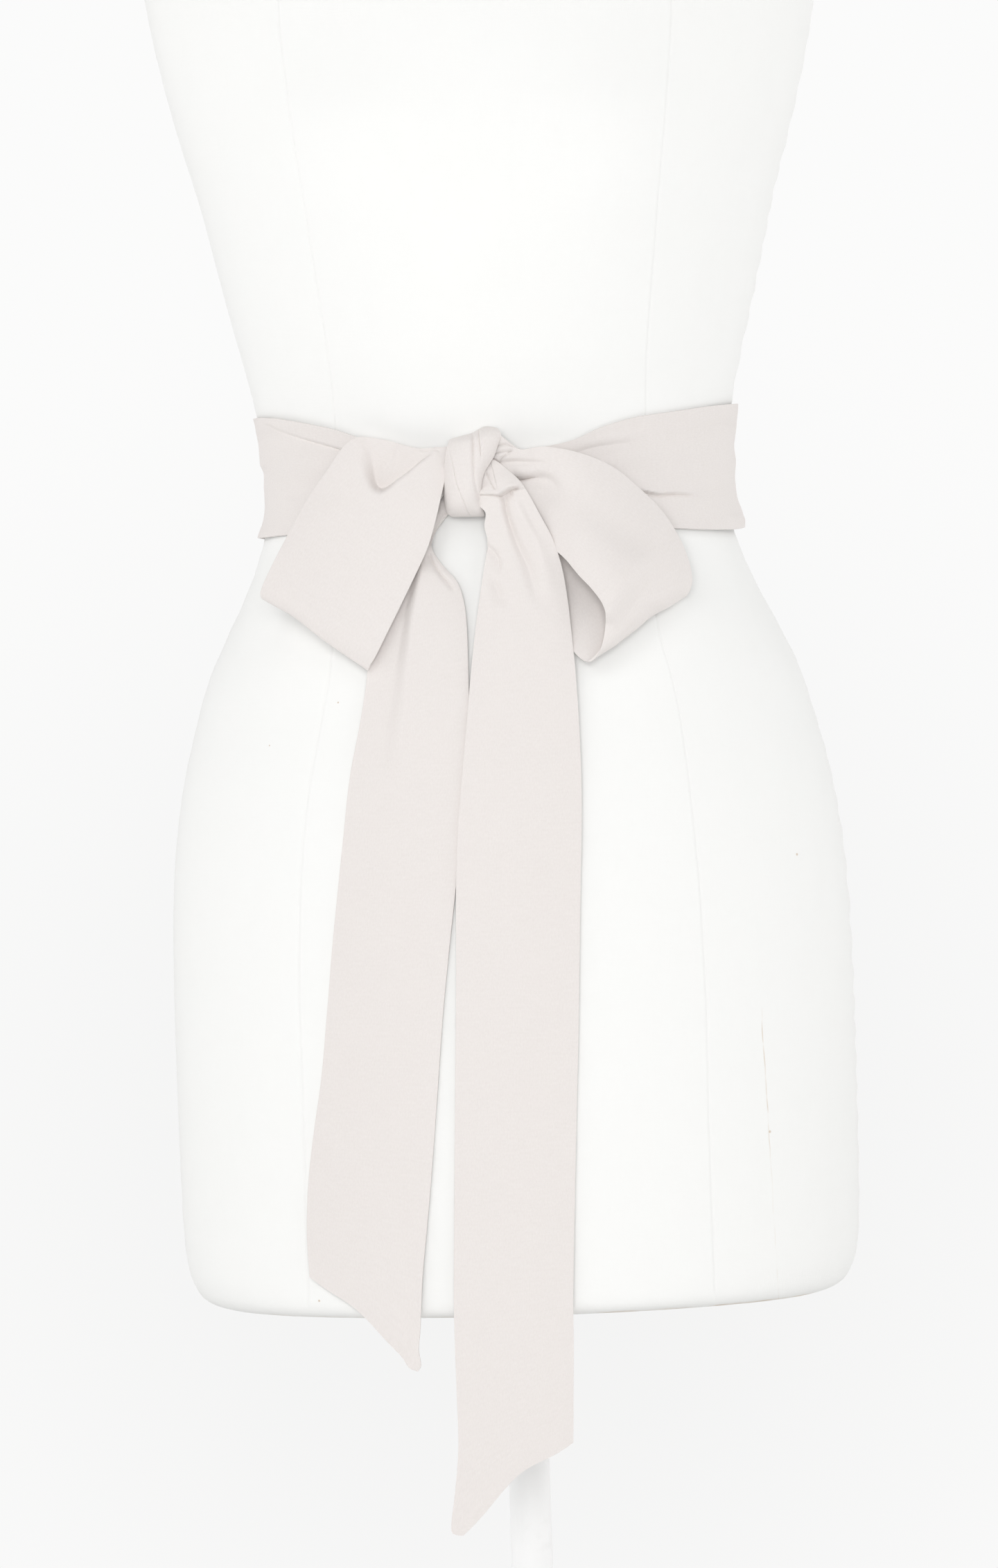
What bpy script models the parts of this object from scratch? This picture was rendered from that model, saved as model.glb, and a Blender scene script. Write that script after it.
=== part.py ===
"""A narrow sash tied in a bow round the waist of a limbless dress form on a round base.

Metres, +Z up. The form faces -Y and +X is on the viewer's right. The origin is the middle
of the base's underside. The tables are in millimetres. Each stretch of the sash is a wall
made from a table of stations: a station gives the ribbon's two edges by x, height and
clearance from the form's skin, so the cloth follows the form and lies clear of it.
"""

import math
from typing import Callable, NamedTuple

import bmesh
import bpy
from mathutils import Vector

MM = 0.001

CLOTH_THICKNESS = 1.2 * MM
HANG_HEIGHT = 650.0
BELLY_POWER = 3.0
FOLD_FADE_IN = 0.2
FOLD_FADE_OUT = 0.45
FORM_SEGMENTS = 48

BUST_X = 82.0
BUST_HEIGHT = 1186.0
BUST_RISE = 9.0
BUST_SPREAD_X = 40.0
BUST_SPREAD_Z = 46.0

POLE_RADIUS = 11.0 * MM
POLE_BOTTOM = 34.3 * MM
POLE_TOP = 587.7 * MM
POLE_SIDES = 32
BASE_STEPS = 48


class Level(NamedTuple):
    """A level section of the form: its height, half width, front depth and back depth."""

    z: float
    half: float
    front: float
    back: float


FORM = (
    Level(588, 158.0, 91.0, 97.0),
    Level(590, 164.0, 95.5, 102.0),
    Level(594, 170.0, 100.0, 107.0),
    Level(600, 174.0, 104.0, 111.0),
    Level(609, 177.5, 107.0, 115.0),
    Level(622, 179.3, 109.0, 118.0),
    Level(645, 180.3, 110.5, 120.0),
    Level(690, 180.8, 112.0, 123.5),
    Level(740, 181.0, 113.0, 126.0),
    Level(785, 180.4, 113.5, 128.0),
    Level(820, 178.6, 113.5, 128.0),
    Level(845, 175.8, 113.0, 127.0),
    Level(870, 171.5, 112.0, 125.0),
    Level(895, 165.2, 109.5, 121.5),
    Level(920, 157.8, 106.8, 117.0),
    Level(945, 146.5, 103.5, 110.5),
    Level(965, 136.5, 100.5, 103.5),
    Level(983, 129.0, 98.3, 97.5),
    Level(1000, 124.0, 97.0, 93.0),
    Level(1020, 121.5, 96.0, 91.0),
    Level(1040, 123.0, 96.0, 90.0),
    Level(1060, 126.0, 97.0, 91.0),
    Level(1085, 131.5, 101.5, 93.5),
    Level(1115, 139.0, 107.0, 97.0),
    Level(1145, 146.0, 111.5, 100.0),
    Level(1175, 153.0, 114.0, 103.0),
    Level(1205, 161.5, 114.0, 106.0),
    Level(1235, 169.2, 111.5, 108.5),
    Level(1265, 175.6, 107.5, 110.0),
    Level(1295, 180.5, 102.0, 110.0),
    Level(1325, 184.5, 95.5, 109.0),
    Level(1355, 186.5, 87.5, 106.0),
    Level(1380, 184.5, 79.5, 101.0),
    Level(1398, 174.0, 72.5, 95.0),
    Level(1412, 152.0, 66.5, 90.0),
    Level(1424, 122.0, 61.0, 85.0),
    Level(1434, 94.0, 56.5, 80.0),
    Level(1445, 73.0, 52.5, 75.5),
    Level(1460, 63.0, 50.0, 72.0),
    Level(1485, 60.0, 50.0, 70.0),
    Level(1500, 58.5, 49.0, 68.5),
    Level(1505, 55.0, 46.0, 66.0),
)


class Ring(NamedTuple):
    """A ring of the base's turned outline: radius and height."""

    radius: float
    z: float


BASE = (
    Ring(0.0, 34.0),
    Ring(20.0, 34.0),
    Ring(26.0, 31.0),
    Ring(36.0, 22.0),
    Ring(62.0, 16.5),
    Ring(120.0, 13.5),
    Ring(168.0, 11.5),
    Ring(177.0, 9.0),
    Ring(180.0, 4.5),
    Ring(178.5, 0.0),
    Ring(0.0, 0.0),
)


class BandStation(NamedTuple):
    """A station of the waist wrap at an angle from the front: its edges and clearances."""

    angle: float
    bottom: float
    top: float
    out_bottom: float
    out_middle: float
    out_top: float


WAIST = (
    BandStation(-2.5, 1004.0, 1036.0, 1.5, 1.5, 1.5),
    BandStation(-9, 1003.0, 1037.5, 1.5, 1.5, 1.5),
    BandStation(-18, 1000.5, 1039.0, 1.5, 1.5, 1.5),
    BandStation(-30, 998.0, 1045.5, 1.5, 1.5, 1.7),
    BandStation(-42, 997.0, 1051.0, 1.5, 1.6, 1.9),
    BandStation(-60, 997.0, 1058.0, 1.7, 1.9, 2.0),
    BandStation(-78, 997.5, 1061.0, 2.6, 1.6, 2.0),
    BandStation(-95, 998.5, 1061.5, 3.0, 1.5, 1.9),
    BandStation(-125, 997.5, 1061.0, 2.2, 1.8, 2.4),
    BandStation(-155, 996.0, 1060.0, 1.7, 2.2, 1.8),
    BandStation(-180, 996.0, 1059.5, 2.2, 1.6, 1.8),
    BandStation(-205, 996.0, 1060.0, 1.8, 2.1, 2.2),
    BandStation(-235, 996.5, 1061.0, 2.4, 1.7, 1.9),
    BandStation(-265, 996.5, 1061.0, 5.5, 2.2, 2.2),
    BandStation(-282, 993.0, 1059.5, 5.0, 2.4, 2.0),
    BandStation(-298, 992.0, 1056.5, 3.2, 2.0, 1.8),
    BandStation(-312, 992.5, 1053.0, 2.0, 1.7, 1.7),
    BandStation(-323, 994.0, 1050.0, 1.6, 1.5, 1.6),
    BandStation(-332, 997.0, 1045.0, 1.5, 1.5, 1.5),
    BandStation(-340, 999.5, 1039.0, 1.5, 1.5, 1.5),
    BandStation(-350, 1002.5, 1035.5, 1.5, 1.5, 1.5),
    BandStation(-358, 1004.0, 1035.0, 1.5, 1.5, 1.5),
)
WAIST_STEPS = (69, 6)


class Station(NamedTuple):
    """A station of a ribbon: edges A and B by x, height and clearance, and its belly."""

    ax: float
    az: float
    a_out: float
    bx: float
    bz: float
    b_out: float
    belly: float


class Fold(NamedTuple):
    """A soft trough (or a ridge, where depth is negative) along a ribbon.

    It runs from one station to another, at a share of the width from edge A at each
    end, and fades out at both. Its depth is in millimetres and its spread in widths.
    """

    start: float
    start_across: float
    end: float
    end_across: float
    depth: float
    spread: float


LOOP_LEFT = (
    Station(-8, 1036.5, 10.4, -8, 1026, 10.4, 0),
    Station(-20, 1037, 11.4, -21, 1029, 11.4, 0),
    Station(-37, 1037.5, 13.0, -23.5, 1019, 12.2, 0.5),
    Station(-55, 1043, 15.0, -27, 1008, 13.5, 1),
    Station(-72, 1041, 17.5, -31, 998, 14.0, 2),
    Station(-84, 1028, 21.0, -36.5, 986, 14.0, 2),
    Station(-95, 1014, 25.0, -43, 972, 14.0, 2),
    Station(-104, 999, 29.0, -49.5, 957.5, 13.5, 1),
    Station(-111, 984, 32.0, -56, 942.5, 13.0, 0),
    Station(-116.5, 970, 33.0, -61, 931, 11.5, 0),
    Station(-119, 963.5, 31.0, -63.5, 925, 9.5, 0),
    Station(-119.5, 960.5, 27.0, -64.5, 922, 6.8, 0),
    Station(-118, 963, 23.0, -63, 924.5, 4.8, 0),
    Station(-114, 972, 20.5, -59, 934, 4.2, 0),
    Station(-106, 988, 17.0, -52, 950, 4.2, 0),
    Station(-95, 1006, 13.0, -43, 969, 5.0, 0),
    Station(-80, 1024, 10.0, -35, 988, 6.0, 0),
    Station(-58, 1037, 8.0, -28, 1005, 6.8, 0),
    Station(-32, 1036, 7.0, -20, 1014, 6.8, 0),
    Station(-8, 1034, 6.8, -8, 1018, 6.8, 0),
)
LOOP_LEFT_FOLDS = (
    Fold(0.6, 0.60, 4.6, 0.46, 4.5, 0.22),
    Fold(0.8, 0.15, 2.8, 0.25, 1.5, 0.12),
    Fold(4.5, 0.20, 9.0, 0.30, 1.2, 0.16),
)
LOOP_STEPS = (38, 9)

LOOP_RIGHT = (
    Station(-2, 1036.5, 9.0, -2, 1020, 9.0, 0),
    Station(7, 1038.7, 9.0, 6, 1008, 6.6, 0),
    Station(16, 1034.5, 10.0, 14, 1000, 6.0, 0),
    Station(31, 1033.5, 12.5, 24, 991, 6.2, 1),
    Station(46, 1032, 14.5, 31, 984, 7.5, 3),
    Station(63, 1025, 15.0, 38.5, 977, 11.5, 5),
    Station(77, 1013, 14.0, 45, 968, 15.0, 6),
    Station(89, 999, 13.0, 51.5, 960, 16.0, 7),
    Station(97, 984, 12.0, 57, 952, 16.5, 7),
    Station(100.2, 970, 11.0, 58, 944, 16.0, 6),
    Station(101, 961, 10.0, 57, 936, 15.5, 5),
    Station(101, 957.5, 8.0, 53.8, 927.3, 13.6, 3),
    Station(100, 956, 5.6, 48.6, 923.0, 9.4, 0),
    Station(97.5, 958, 3.8, 43.4, 926.4, 5.0, 0),
    Station(94, 967, 3.2, 38, 935, 3.2, 0),
    Station(86, 985, 3.2, 28, 955, 3.2, 0),
    Station(70, 1005, 3.4, 17, 978, 3.2, 0),
    Station(48, 1022, 3.6, 7, 998, 3.4, 0),
    Station(22, 1031, 3.8, 0, 1008, 3.6, 0),
    Station(2, 1033, 3.8, -2, 1015, 3.6, 0),
)
LOOP_RIGHT_FOLDS = (
    Fold(1.2, 0.22, 4.2, 0.18, 1.6, 0.10),
    Fold(1.4, 0.55, 4.4, 0.46, 3.5, 0.14),
    Fold(5.5, 0.55, 9.0, 0.60, 1.6, 0.20),
)

KNOT = (
    Station(-16.5, 1039.8, 3.6, 6.0, 1041.2, 3.6, 0),
    Station(-17.5, 1040.8, 6.0, 6.6, 1042.8, 6.0, 0),
    Station(-18.3, 1040.8, 9.6, 7.2, 1043.0, 9.0, 1.5),
    Station(-18.8, 1040, 12.4, 7.8, 1042.0, 11.6, 4),
    Station(-19.3, 1037.6, 13.2, 8.0, 1039.4, 12.4, 6.5),
    Station(-20, 1031, 13.3, 6, 1033, 14.6, 6.5),
    Station(-21, 1023, 12.0, 0.5, 1023, 14.9, 6.5),
    Station(-22, 1014, 10.2, -3.5, 1014, 14.6, 7.0),
    Station(-21.5, 1007, 9.0, -4.5, 1007, 12.6, 6.5),
    Station(-20, 1001.8, 8.4, -3, 1001.5, 10.6, 4.5),
    Station(-18, 999.4, 7.6, -3, 998.8, 8.8, 2.0),
    Station(-16.5, 999.2, 5.6, -3.5, 998.8, 6.0, 0.5),
    Station(-15.5, 1000.4, 3.8, -4, 1000.2, 3.8, 0),
)
KNOT_FOLDS = (
    Fold(2.5, 0.50, 8.5, 0.84, 1.6, 0.10),
    Fold(3.0, 0.66, 6.0, 0.86, 1.0, 0.08),
    Fold(4.5, 0.20, 9.5, 0.55, 1.1, 0.10),
)
KNOT_STEPS = (24, 10)

TAIL_LEFT = (
    Station(-13, 1013, 3.5, -13, 1004, 3.5, 0),
    Station(-23, 1011, 3.5, -20, 1003, 3.5, 0.6),
    Station(-36, 1005, 3.4, -26, 996.5, 3.4, 1.2),
    Station(-46, 995, 3.0, -31, 990.5, 3.2, 1.2),
    Station(-52, 983, 1.8, -31, 984, 3.0, 0.8),
    Station(-57, 968, 1.4, -25, 976, 2.0, 0),
    Station(-61, 951, 1.3, -17, 966, 1.5, 0),
    Station(-64, 933, 1.3, -13.6, 951, 1.3, 0),
    Station(-66, 916, 1.3, -13, 928, 1.3, 0),
    Station(-70, 895, 1.3, -13.4, 897, 1.3, 0),
    Station(-76, 868, 1.3, -15.5, 869, 1.3, 0),
    Station(-80, 840, 1.3, -18.5, 840, 1.3, 0),
    Station(-84, 811, 1.3, -22.7, 811, 1.3, 0),
    Station(-88, 781, 1.4, -27, 781, 1.4, 0),
    Station(-92, 747, 1.4, -31.5, 747, 1.4, 0),
    Station(-96, 715, 1.5, -35.2, 712, 1.4, 0),
    Station(-101, 687, 1.6, -38.6, 680, 1.5, 0),
    Station(-105, 660, 1.8, -42, 650, 1.6, 0),
    Station(-106.5, 636, 2.0, -45, 613, 1.8, 0),
    Station(-106, 612, 2.0, -49.5, 565, 1.8, 0),
)
TAIL_LEFT_FOLDS = (
    Fold(3.6, 0.86, 10.6, 0.44, -0.9, 0.08),
    Fold(3.6, 0.60, 10.6, 0.18, -0.9, 0.08),
)
TAIL_STEPS = (44, 9)

TAIL_RIGHT = (
    Station(-9, 1013, 12.2, -7, 1025, 12.4, 0),
    Station(-4, 1012, 12.8, 3, 1028.5, 12.8, 0.5),
    Station(-1.5, 1010.5, 15.2, 11, 1024, 14.2, 1),
    Station(-3.5, 1006.5, 14.2, 17, 1017, 14.4, 1),
    Station(-2.5, 1001, 13.0, 21, 1009, 13.8, 0),
    Station(-2.5, 993, 12.0, 26.5, 999, 13.4, 0),
    Station(-1.5, 985, 11.4, 32, 988, 13.0, 0),
    Station(-3, 975, 10.4, 36, 975, 12.0, 0),
    Station(-5.5, 961, 8.8, 38.3, 961, 10.4, 0),
    Station(-8.5, 943, 6.8, 40.0, 943, 8.4, 0),
    Station(-11.5, 921, 5.0, 41.6, 921, 6.4, 0),
    Station(-14.7, 893, 3.6, 42.7, 893, 4.2, 0),
    Station(-18, 865, 3.2, 43, 865, 3.4, 0),
    Station(-21, 838, 3.0, 42.3, 838, 2.6, 0),
    Station(-22.8, 805, 2.9, 40.6, 805, 2.0, 0),
    Station(-24, 769, 2.6, 38.9, 769, 1.7, 0),
    Station(-25.5, 733, 2.2, 37.2, 733, 1.6, 0),
    Station(-27, 698, 2.0, 35.2, 698, 1.6, 0),
    Station(-29, 650, 2.0, 32.6, 650, 1.8, 0),
    Station(-31, 595, 2.2, 30.2, 603, 2.0, 0),
    Station(-31, 550, 2.6, 28, 572, 2.2, 0),
    Station(-33, 514, 3.4, 27, 548, 2.4, 0),
    Station(-36, 484, 4.6, 28, 525, 2.6, 0),
)
TAIL_RIGHT_FOLDS = (
    Fold(3.4, 0.44, 10.2, 0.72, 3.2, 0.10),
    Fold(3.6, 0.84, 7.4, 0.90, 2.2, 0.07),
    Fold(6.0, 0.06, 10.4, 0.34, 1.8, 0.09),
    Fold(3.6, 0.66, 8.8, 0.84, -1.6, 0.08),
)


def smooth_step(share: float) -> float:
    """Ease from 0 to 1 with a level start and end."""
    share = min(max(share, 0.0), 1.0)
    return share * share * (3.0 - 2.0 * share)


def hermite(before: float, start: float, end: float, after: float, share: float) -> float:
    """Value of a smooth curve between start and end, shaped by its two neighbours."""
    lead = 0.5 * (end - before)
    trail = 0.5 * (after - start)
    square = share * share
    cube = square * share
    return (
        (2 * cube - 3 * square + 1) * start
        + (cube - 2 * square + share) * lead
        + (3 * square - 2 * cube) * end
        + (cube - square) * trail
    )


def station_at(table: tuple, along: float) -> list[float]:
    """Every column of a table, on a smooth curve through its rows, at a row number."""
    last = len(table) - 1
    first = min(int(along), last - 1)
    share = along - first
    rows = (table[max(first - 1, 0)], table[first], table[first + 1], table[min(first + 2, last)])
    return [hermite(*column, share) for column in zip(*rows)]


def form_level(height: float) -> Level:
    """The form's section at a height, between the two nearest levels of the table."""
    height = min(max(height, FORM[0].z), FORM[-1].z)
    for lower, upper in zip(FORM, FORM[1:]):
        if height <= upper.z:
            share = (height - lower.z) / (upper.z - lower.z)
            return Level(*(a + (b - a) * share for a, b in zip(lower, upper)))
    return FORM[-1]


def bust_rise(x: float, height: float) -> float:
    """How far the general bust stands out in front of the plain section."""
    side = (abs(x) - BUST_X) / BUST_SPREAD_X
    rise = (height - BUST_HEIGHT) / BUST_SPREAD_Z
    return BUST_RISE * math.exp(-side * side - rise * rise)


def form_point(angle: float, height: float, out: float = 0.0) -> Vector:
    """A point on the form, at an angle from its front towards +X, moved out from it."""
    level = form_level(height)
    x = (level.half + out) * math.sin(angle)
    if math.cos(angle) > 0.0:
        y = -(level.front + out + bust_rise(x, height)) * math.cos(angle)
    else:
        y = -(level.back + out) * math.cos(angle)
    return Vector((x, y, height)) * MM


def draped_point(x: float, height: float, out: float) -> Vector:
    """A point of cloth at x and a height in front of the form, hanging straight below it."""
    wrapped = max(height, HANG_HEIGHT)
    across = x / (form_level(wrapped).half + out)
    point = form_point(math.asin(min(max(across, -1.0), 1.0)), wrapped, out)
    point.z = height * MM
    return point


def fold_depth(folds: tuple, along: float, across: float) -> float:
    """Sum of the folds' depths at a point of a ribbon."""
    total = 0.0
    for fold in folds:
        share = (along - fold.start) / (fold.end - fold.start)
        if 0.0 < share < 1.0:
            centre = fold.start_across + (fold.end_across - fold.start_across) * share
            offset = (across - centre) / fold.spread
            ends = smooth_step(share / FOLD_FADE_IN) * smooth_step((1.0 - share) / FOLD_FADE_OUT)
            total += fold.depth * ends * math.exp(-offset * offset)
    return total


def ribbon_point(table: tuple, folds: tuple, along: float, across: float) -> Vector:
    """A point of a ribbon at a row number of its table and a share of its width."""
    station = Station(*station_at(table, along))
    x = station.ax + (station.bx - station.ax) * across
    height = station.az + (station.bz - station.az) * across
    out = station.a_out + (station.b_out - station.a_out) * across
    out += station.belly * (1.0 - abs(2.0 * across - 1.0) ** BELLY_POWER)
    out -= fold_depth(folds, along, across)
    return draped_point(x, height, out)


def waist_point(along: float, across: float) -> Vector:
    """A point of the waist wrap at a row number of its table, from bottom to top."""
    station = BandStation(*station_at(WAIST, along))
    height = station.bottom + (station.top - station.bottom) * across
    edge = station.out_bottom + (station.out_top - station.out_bottom) * across
    bow = station.out_middle - 0.5 * (station.out_bottom + station.out_top)
    out = edge + bow * math.sin(math.pi * across)
    return form_point(math.radians(station.angle), height, out)


def make_material(name: str, colour: tuple, roughness: float, sheen: float) -> bpy.types.Material:
    """A Principled material of one colour."""
    material = bpy.data.materials.new(name)
    material.use_nodes = True
    shader = material.node_tree.nodes["Principled BSDF"]
    shader.inputs["Base Color"].default_value = (*colour, 1.0)
    shader.inputs["Roughness"].default_value = roughness
    shader.inputs["Metallic"].default_value = 0.0
    shader.inputs["Sheen Weight"].default_value = sheen
    return material


def add_object(name: str, bm: bmesh.types.BMesh, material: bpy.types.Material) -> bpy.types.Object:
    """Turn a bmesh into a smooth-shaded object in the sash's collection."""
    mesh = bpy.data.meshes.new(name)
    bm.to_mesh(mesh)
    bm.free()
    mesh.materials.append(material)
    mesh.shade_smooth()
    obj = bpy.data.objects.new(name, mesh)
    bpy.data.collections["sash"].objects.link(obj)
    return obj


def add_cloth(
    name: str,
    rows: int,
    steps: tuple[int, int],
    place: Callable[[float, float], Vector],
    material: bpy.types.Material,
) -> bpy.types.Object:
    """A wall of cloth: a grid laid through a table's stations and given its thickness."""
    bm = bmesh.new()
    bmesh.ops.create_grid(bm, x_segments=steps[0], y_segments=steps[1], size=0.5)
    for vert in bm.verts:
        along = (vert.co.x + 0.5) * (rows - 1)
        vert.co = place(min(max(along, 0.0), rows - 1.0), vert.co.y + 0.5)
    obj = add_object(name, bm, material)
    wall = obj.modifiers.new("wall", "SOLIDIFY")
    wall.thickness = CLOTH_THICKNESS
    wall.offset = 0.0
    wall.use_even_offset = True
    return obj


def add_ribbon(
    name: str, table: tuple, folds: tuple, steps: tuple[int, int], material: bpy.types.Material
) -> bpy.types.Object:
    """A stretch of the sash from its table of stations and its table of folds."""

    def place(along: float, across: float) -> Vector:
        return ribbon_point(table, folds, along, across)

    return add_cloth(name, len(table), steps, place, material)


def add_torso(material: bpy.types.Material) -> bpy.types.Object:
    """The form: level sections joined into one smooth closed body with flat ends."""
    bm = bmesh.new()
    spans = len(FORM) - 1
    bmesh.ops.create_grid(bm, x_segments=FORM_SEGMENTS, y_segments=spans, size=0.5)
    for vert in bm.verts:
        angle = 2.0 * math.pi * (vert.co.x + 0.5)
        level = FORM[round((vert.co.y + 0.5) * spans)]
        vert.co = form_point(angle, level.z)
    bmesh.ops.remove_doubles(bm, verts=bm.verts, dist=0.01 * MM)
    bmesh.ops.holes_fill(bm, edges=bm.edges, sides=FORM_SEGMENTS)
    bmesh.ops.recalc_face_normals(bm, faces=bm.faces)
    return add_object("form_torso", bm, material)


def add_pole(material: bpy.types.Material) -> bpy.types.Object:
    """The round pole between the base and the form."""
    bm = bmesh.new()
    bmesh.ops.create_cone(
        bm,
        cap_ends=True,
        segments=POLE_SIDES,
        radius1=POLE_RADIUS,
        radius2=POLE_RADIUS,
        depth=POLE_TOP - POLE_BOTTOM,
    )
    pole = add_object("form_pole", bm, material)
    pole.location = (0.0, 0.0, 0.5 * (POLE_TOP + POLE_BOTTOM))
    return pole


def add_base(material: bpy.types.Material) -> bpy.types.Object:
    """The round base, its outline turned about the pole's axis."""
    bm = bmesh.new()
    verts = [bm.verts.new((ring.radius * MM, 0.0, ring.z * MM)) for ring in BASE]
    for start, end in zip(verts, verts[1:]):
        bm.edges.new((start, end))
    base = add_object("form_base", bm, material)
    turn = base.modifiers.new("turn", "SCREW")
    turn.axis = "Z"
    turn.angle = 2.0 * math.pi
    turn.steps = BASE_STEPS
    turn.render_steps = BASE_STEPS
    turn.use_merge_vertices = True
    turn.merge_threshold = 0.0001
    return base


def main() -> None:
    """Build the dress form and every stretch of the sash."""
    for obj in list(bpy.data.objects):
        bpy.data.objects.remove(obj)
    collection = bpy.data.collections.new("sash")
    bpy.context.scene.collection.children.link(collection)

    crepe = make_material("crepe", (0.80, 0.72, 0.66), 0.55, 0.3)
    canvas = make_material("canvas", (0.86, 0.86, 0.84), 0.8, 0.1)
    enamel = make_material("enamel", (0.82, 0.82, 0.81), 0.35, 0.0)

    add_torso(canvas)
    add_pole(enamel)
    add_base(enamel)
    add_cloth("waist_wrap", len(WAIST), WAIST_STEPS, waist_point, crepe)
    add_ribbon("tail_left", TAIL_LEFT, TAIL_LEFT_FOLDS, TAIL_STEPS, crepe)
    add_ribbon("loop_left", LOOP_LEFT, LOOP_LEFT_FOLDS, LOOP_STEPS, crepe)
    add_ribbon("loop_right", LOOP_RIGHT, LOOP_RIGHT_FOLDS, LOOP_STEPS, crepe)
    add_ribbon("tail_right", TAIL_RIGHT, TAIL_RIGHT_FOLDS, TAIL_STEPS, crepe)
    add_ribbon("knot_wrap", KNOT, KNOT_FOLDS, KNOT_STEPS, crepe)


main()
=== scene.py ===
"""Looks of a narrow satin sash tied in a bow round a limbless dress form on a stand.

Metres, +Z up, the form facing -Y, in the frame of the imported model. The tables are in
millimetres: x to the viewer's right, z up from the floor, and clearances out from the form.
"""

import logging
import math
from dataclasses import dataclass, field
from enum import Enum
from typing import NamedTuple

import bmesh
import bpy
import numpy as np
from mathutils import Matrix, Vector


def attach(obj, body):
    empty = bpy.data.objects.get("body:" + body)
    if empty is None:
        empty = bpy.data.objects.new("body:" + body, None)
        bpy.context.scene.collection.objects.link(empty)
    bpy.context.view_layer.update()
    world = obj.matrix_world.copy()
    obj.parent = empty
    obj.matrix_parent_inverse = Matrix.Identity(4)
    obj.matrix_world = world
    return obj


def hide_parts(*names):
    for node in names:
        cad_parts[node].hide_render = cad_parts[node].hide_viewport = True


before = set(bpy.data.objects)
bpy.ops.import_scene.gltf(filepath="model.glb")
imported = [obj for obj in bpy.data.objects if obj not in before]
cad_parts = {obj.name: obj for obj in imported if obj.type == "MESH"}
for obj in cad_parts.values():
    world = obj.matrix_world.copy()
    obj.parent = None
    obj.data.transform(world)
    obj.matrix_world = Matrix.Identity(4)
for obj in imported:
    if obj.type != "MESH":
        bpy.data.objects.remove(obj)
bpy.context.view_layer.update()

MM = 0.001
ROOT = "root"
TEXTILE_UV = "textile"
LOG = logging.getLogger("sash")

Colour = tuple[float, float, float, float]


# ------------------------------------------------------------------ curves and noise


def smooth_step(share: np.ndarray) -> np.ndarray:
    """Ease from 0 to 1 with a level start and end.

    Args:
        share: Values, which are held between 0 and 1.

    Returns:
        The eased values.
    """
    share = np.clip(share, 0.0, 1.0)
    return share * share * (3.0 - 2.0 * share)


def hermite(
    start: np.ndarray, lead: np.ndarray, end: np.ndarray, trail: np.ndarray, share: np.ndarray
) -> np.ndarray:
    """Cubic between two values with given slopes.

    Args:
        start: Values at share 0.
        lead: Slopes at share 0, per unit of share.
        end: Values at share 1.
        trail: Slopes at share 1.
        share: How far along each point lies.

    Returns:
        The values at share.
    """
    square = share * share
    cube = square * share
    return (
        (2 * cube - 3 * square + 1) * start
        + (cube - 2 * square + share) * lead
        + (3 * square - 2 * cube) * end
        + (cube - square) * trail
    )


def through_rows(table: np.ndarray, rows: np.ndarray) -> np.ndarray:
    """Every column of a table, on a smooth curve through its rows.

    Args:
        table: One row for each station.
        rows: Row numbers, fractions among them.

    Returns:
        One row of values for each row number.
    """
    last = len(table) - 1
    first = np.clip(rows.astype(int), 0, last - 1)
    start, end = table[first], table[first + 1]
    lead = 0.5 * (end - table[np.maximum(first - 1, 0)])
    trail = 0.5 * (table[np.minimum(first + 2, last)] - start)
    return hermite(start, lead, end, trail, (rows - first)[:, None])


def through_levels(places: np.ndarray, values: np.ndarray, at: np.ndarray) -> np.ndarray:
    """A smooth curve through unevenly spaced values that never overshoots them.

    Args:
        places: Where the values are, rising.
        values: The values there.
        at: Where the curve is read, held within the places.

    Returns:
        The curve's values.
    """
    gaps = np.diff(places)
    slopes = np.diff(values) / gaps
    product = slopes[:-1] * slopes[1:]
    weight_one, weight_two = 2 * gaps[1:] + gaps[:-1], gaps[1:] + 2 * gaps[:-1]
    with np.errstate(divide="ignore", invalid="ignore"):
        mean = (weight_one + weight_two) / (weight_one / slopes[:-1] + weight_two / slopes[1:])
    inner = np.where(product > 0.0, mean, 0.0)
    tangents = np.concatenate([slopes[:1], inner, slopes[-1:]])
    at = np.clip(at, places[0], places[-1])
    first = np.clip(np.searchsorted(places, at, side="right") - 1, 0, len(gaps) - 1)
    gap = gaps[first]
    share = (at - places[first]) / gap
    return hermite(
        values[first], tangents[first] * gap, values[first + 1], tangents[first + 1] * gap, share
    )


NOISE_WAVES = 5
NOISE_PEAK = 3.2  # the waves seldom add up to more


def soft_noise(across: np.ndarray, along: np.ndarray, wave: float, seed: float) -> np.ndarray:
    """Even, repeatable unevenness made of a few crossing waves.

    Args:
        across: One coordinate of each point.
        along: The other one.
        wave: The usual wavelength, in the same unit.
        seed: Shifts the waves, so that pieces differ.

    Returns:
        Values from about -1 to 1.
    """
    # Each wave is turned, bent and longer than the one before, so that no repeat shows.
    total = np.zeros_like(across)
    for turn in range(NOISE_WAVES):
        angle = 2.4 * turn + seed
        length = wave * (0.75 + 0.17 * turn)
        travel = across * math.cos(angle) + along * math.sin(angle)
        bend = 0.9 * np.sin(2.1 * (along - across) / wave + 1.7 * turn + seed)
        total += np.sin(2.0 * math.pi * travel / length + 2.3 * turn + 5.1 * seed + bend)
    return total / NOISE_PEAK


# ------------------------------------------------------------------ the form's shape


class Level(NamedTuple):
    """A level section of the form: its height, half width, front depth and back depth."""

    z: float
    half: float
    front: float
    back: float


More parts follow.
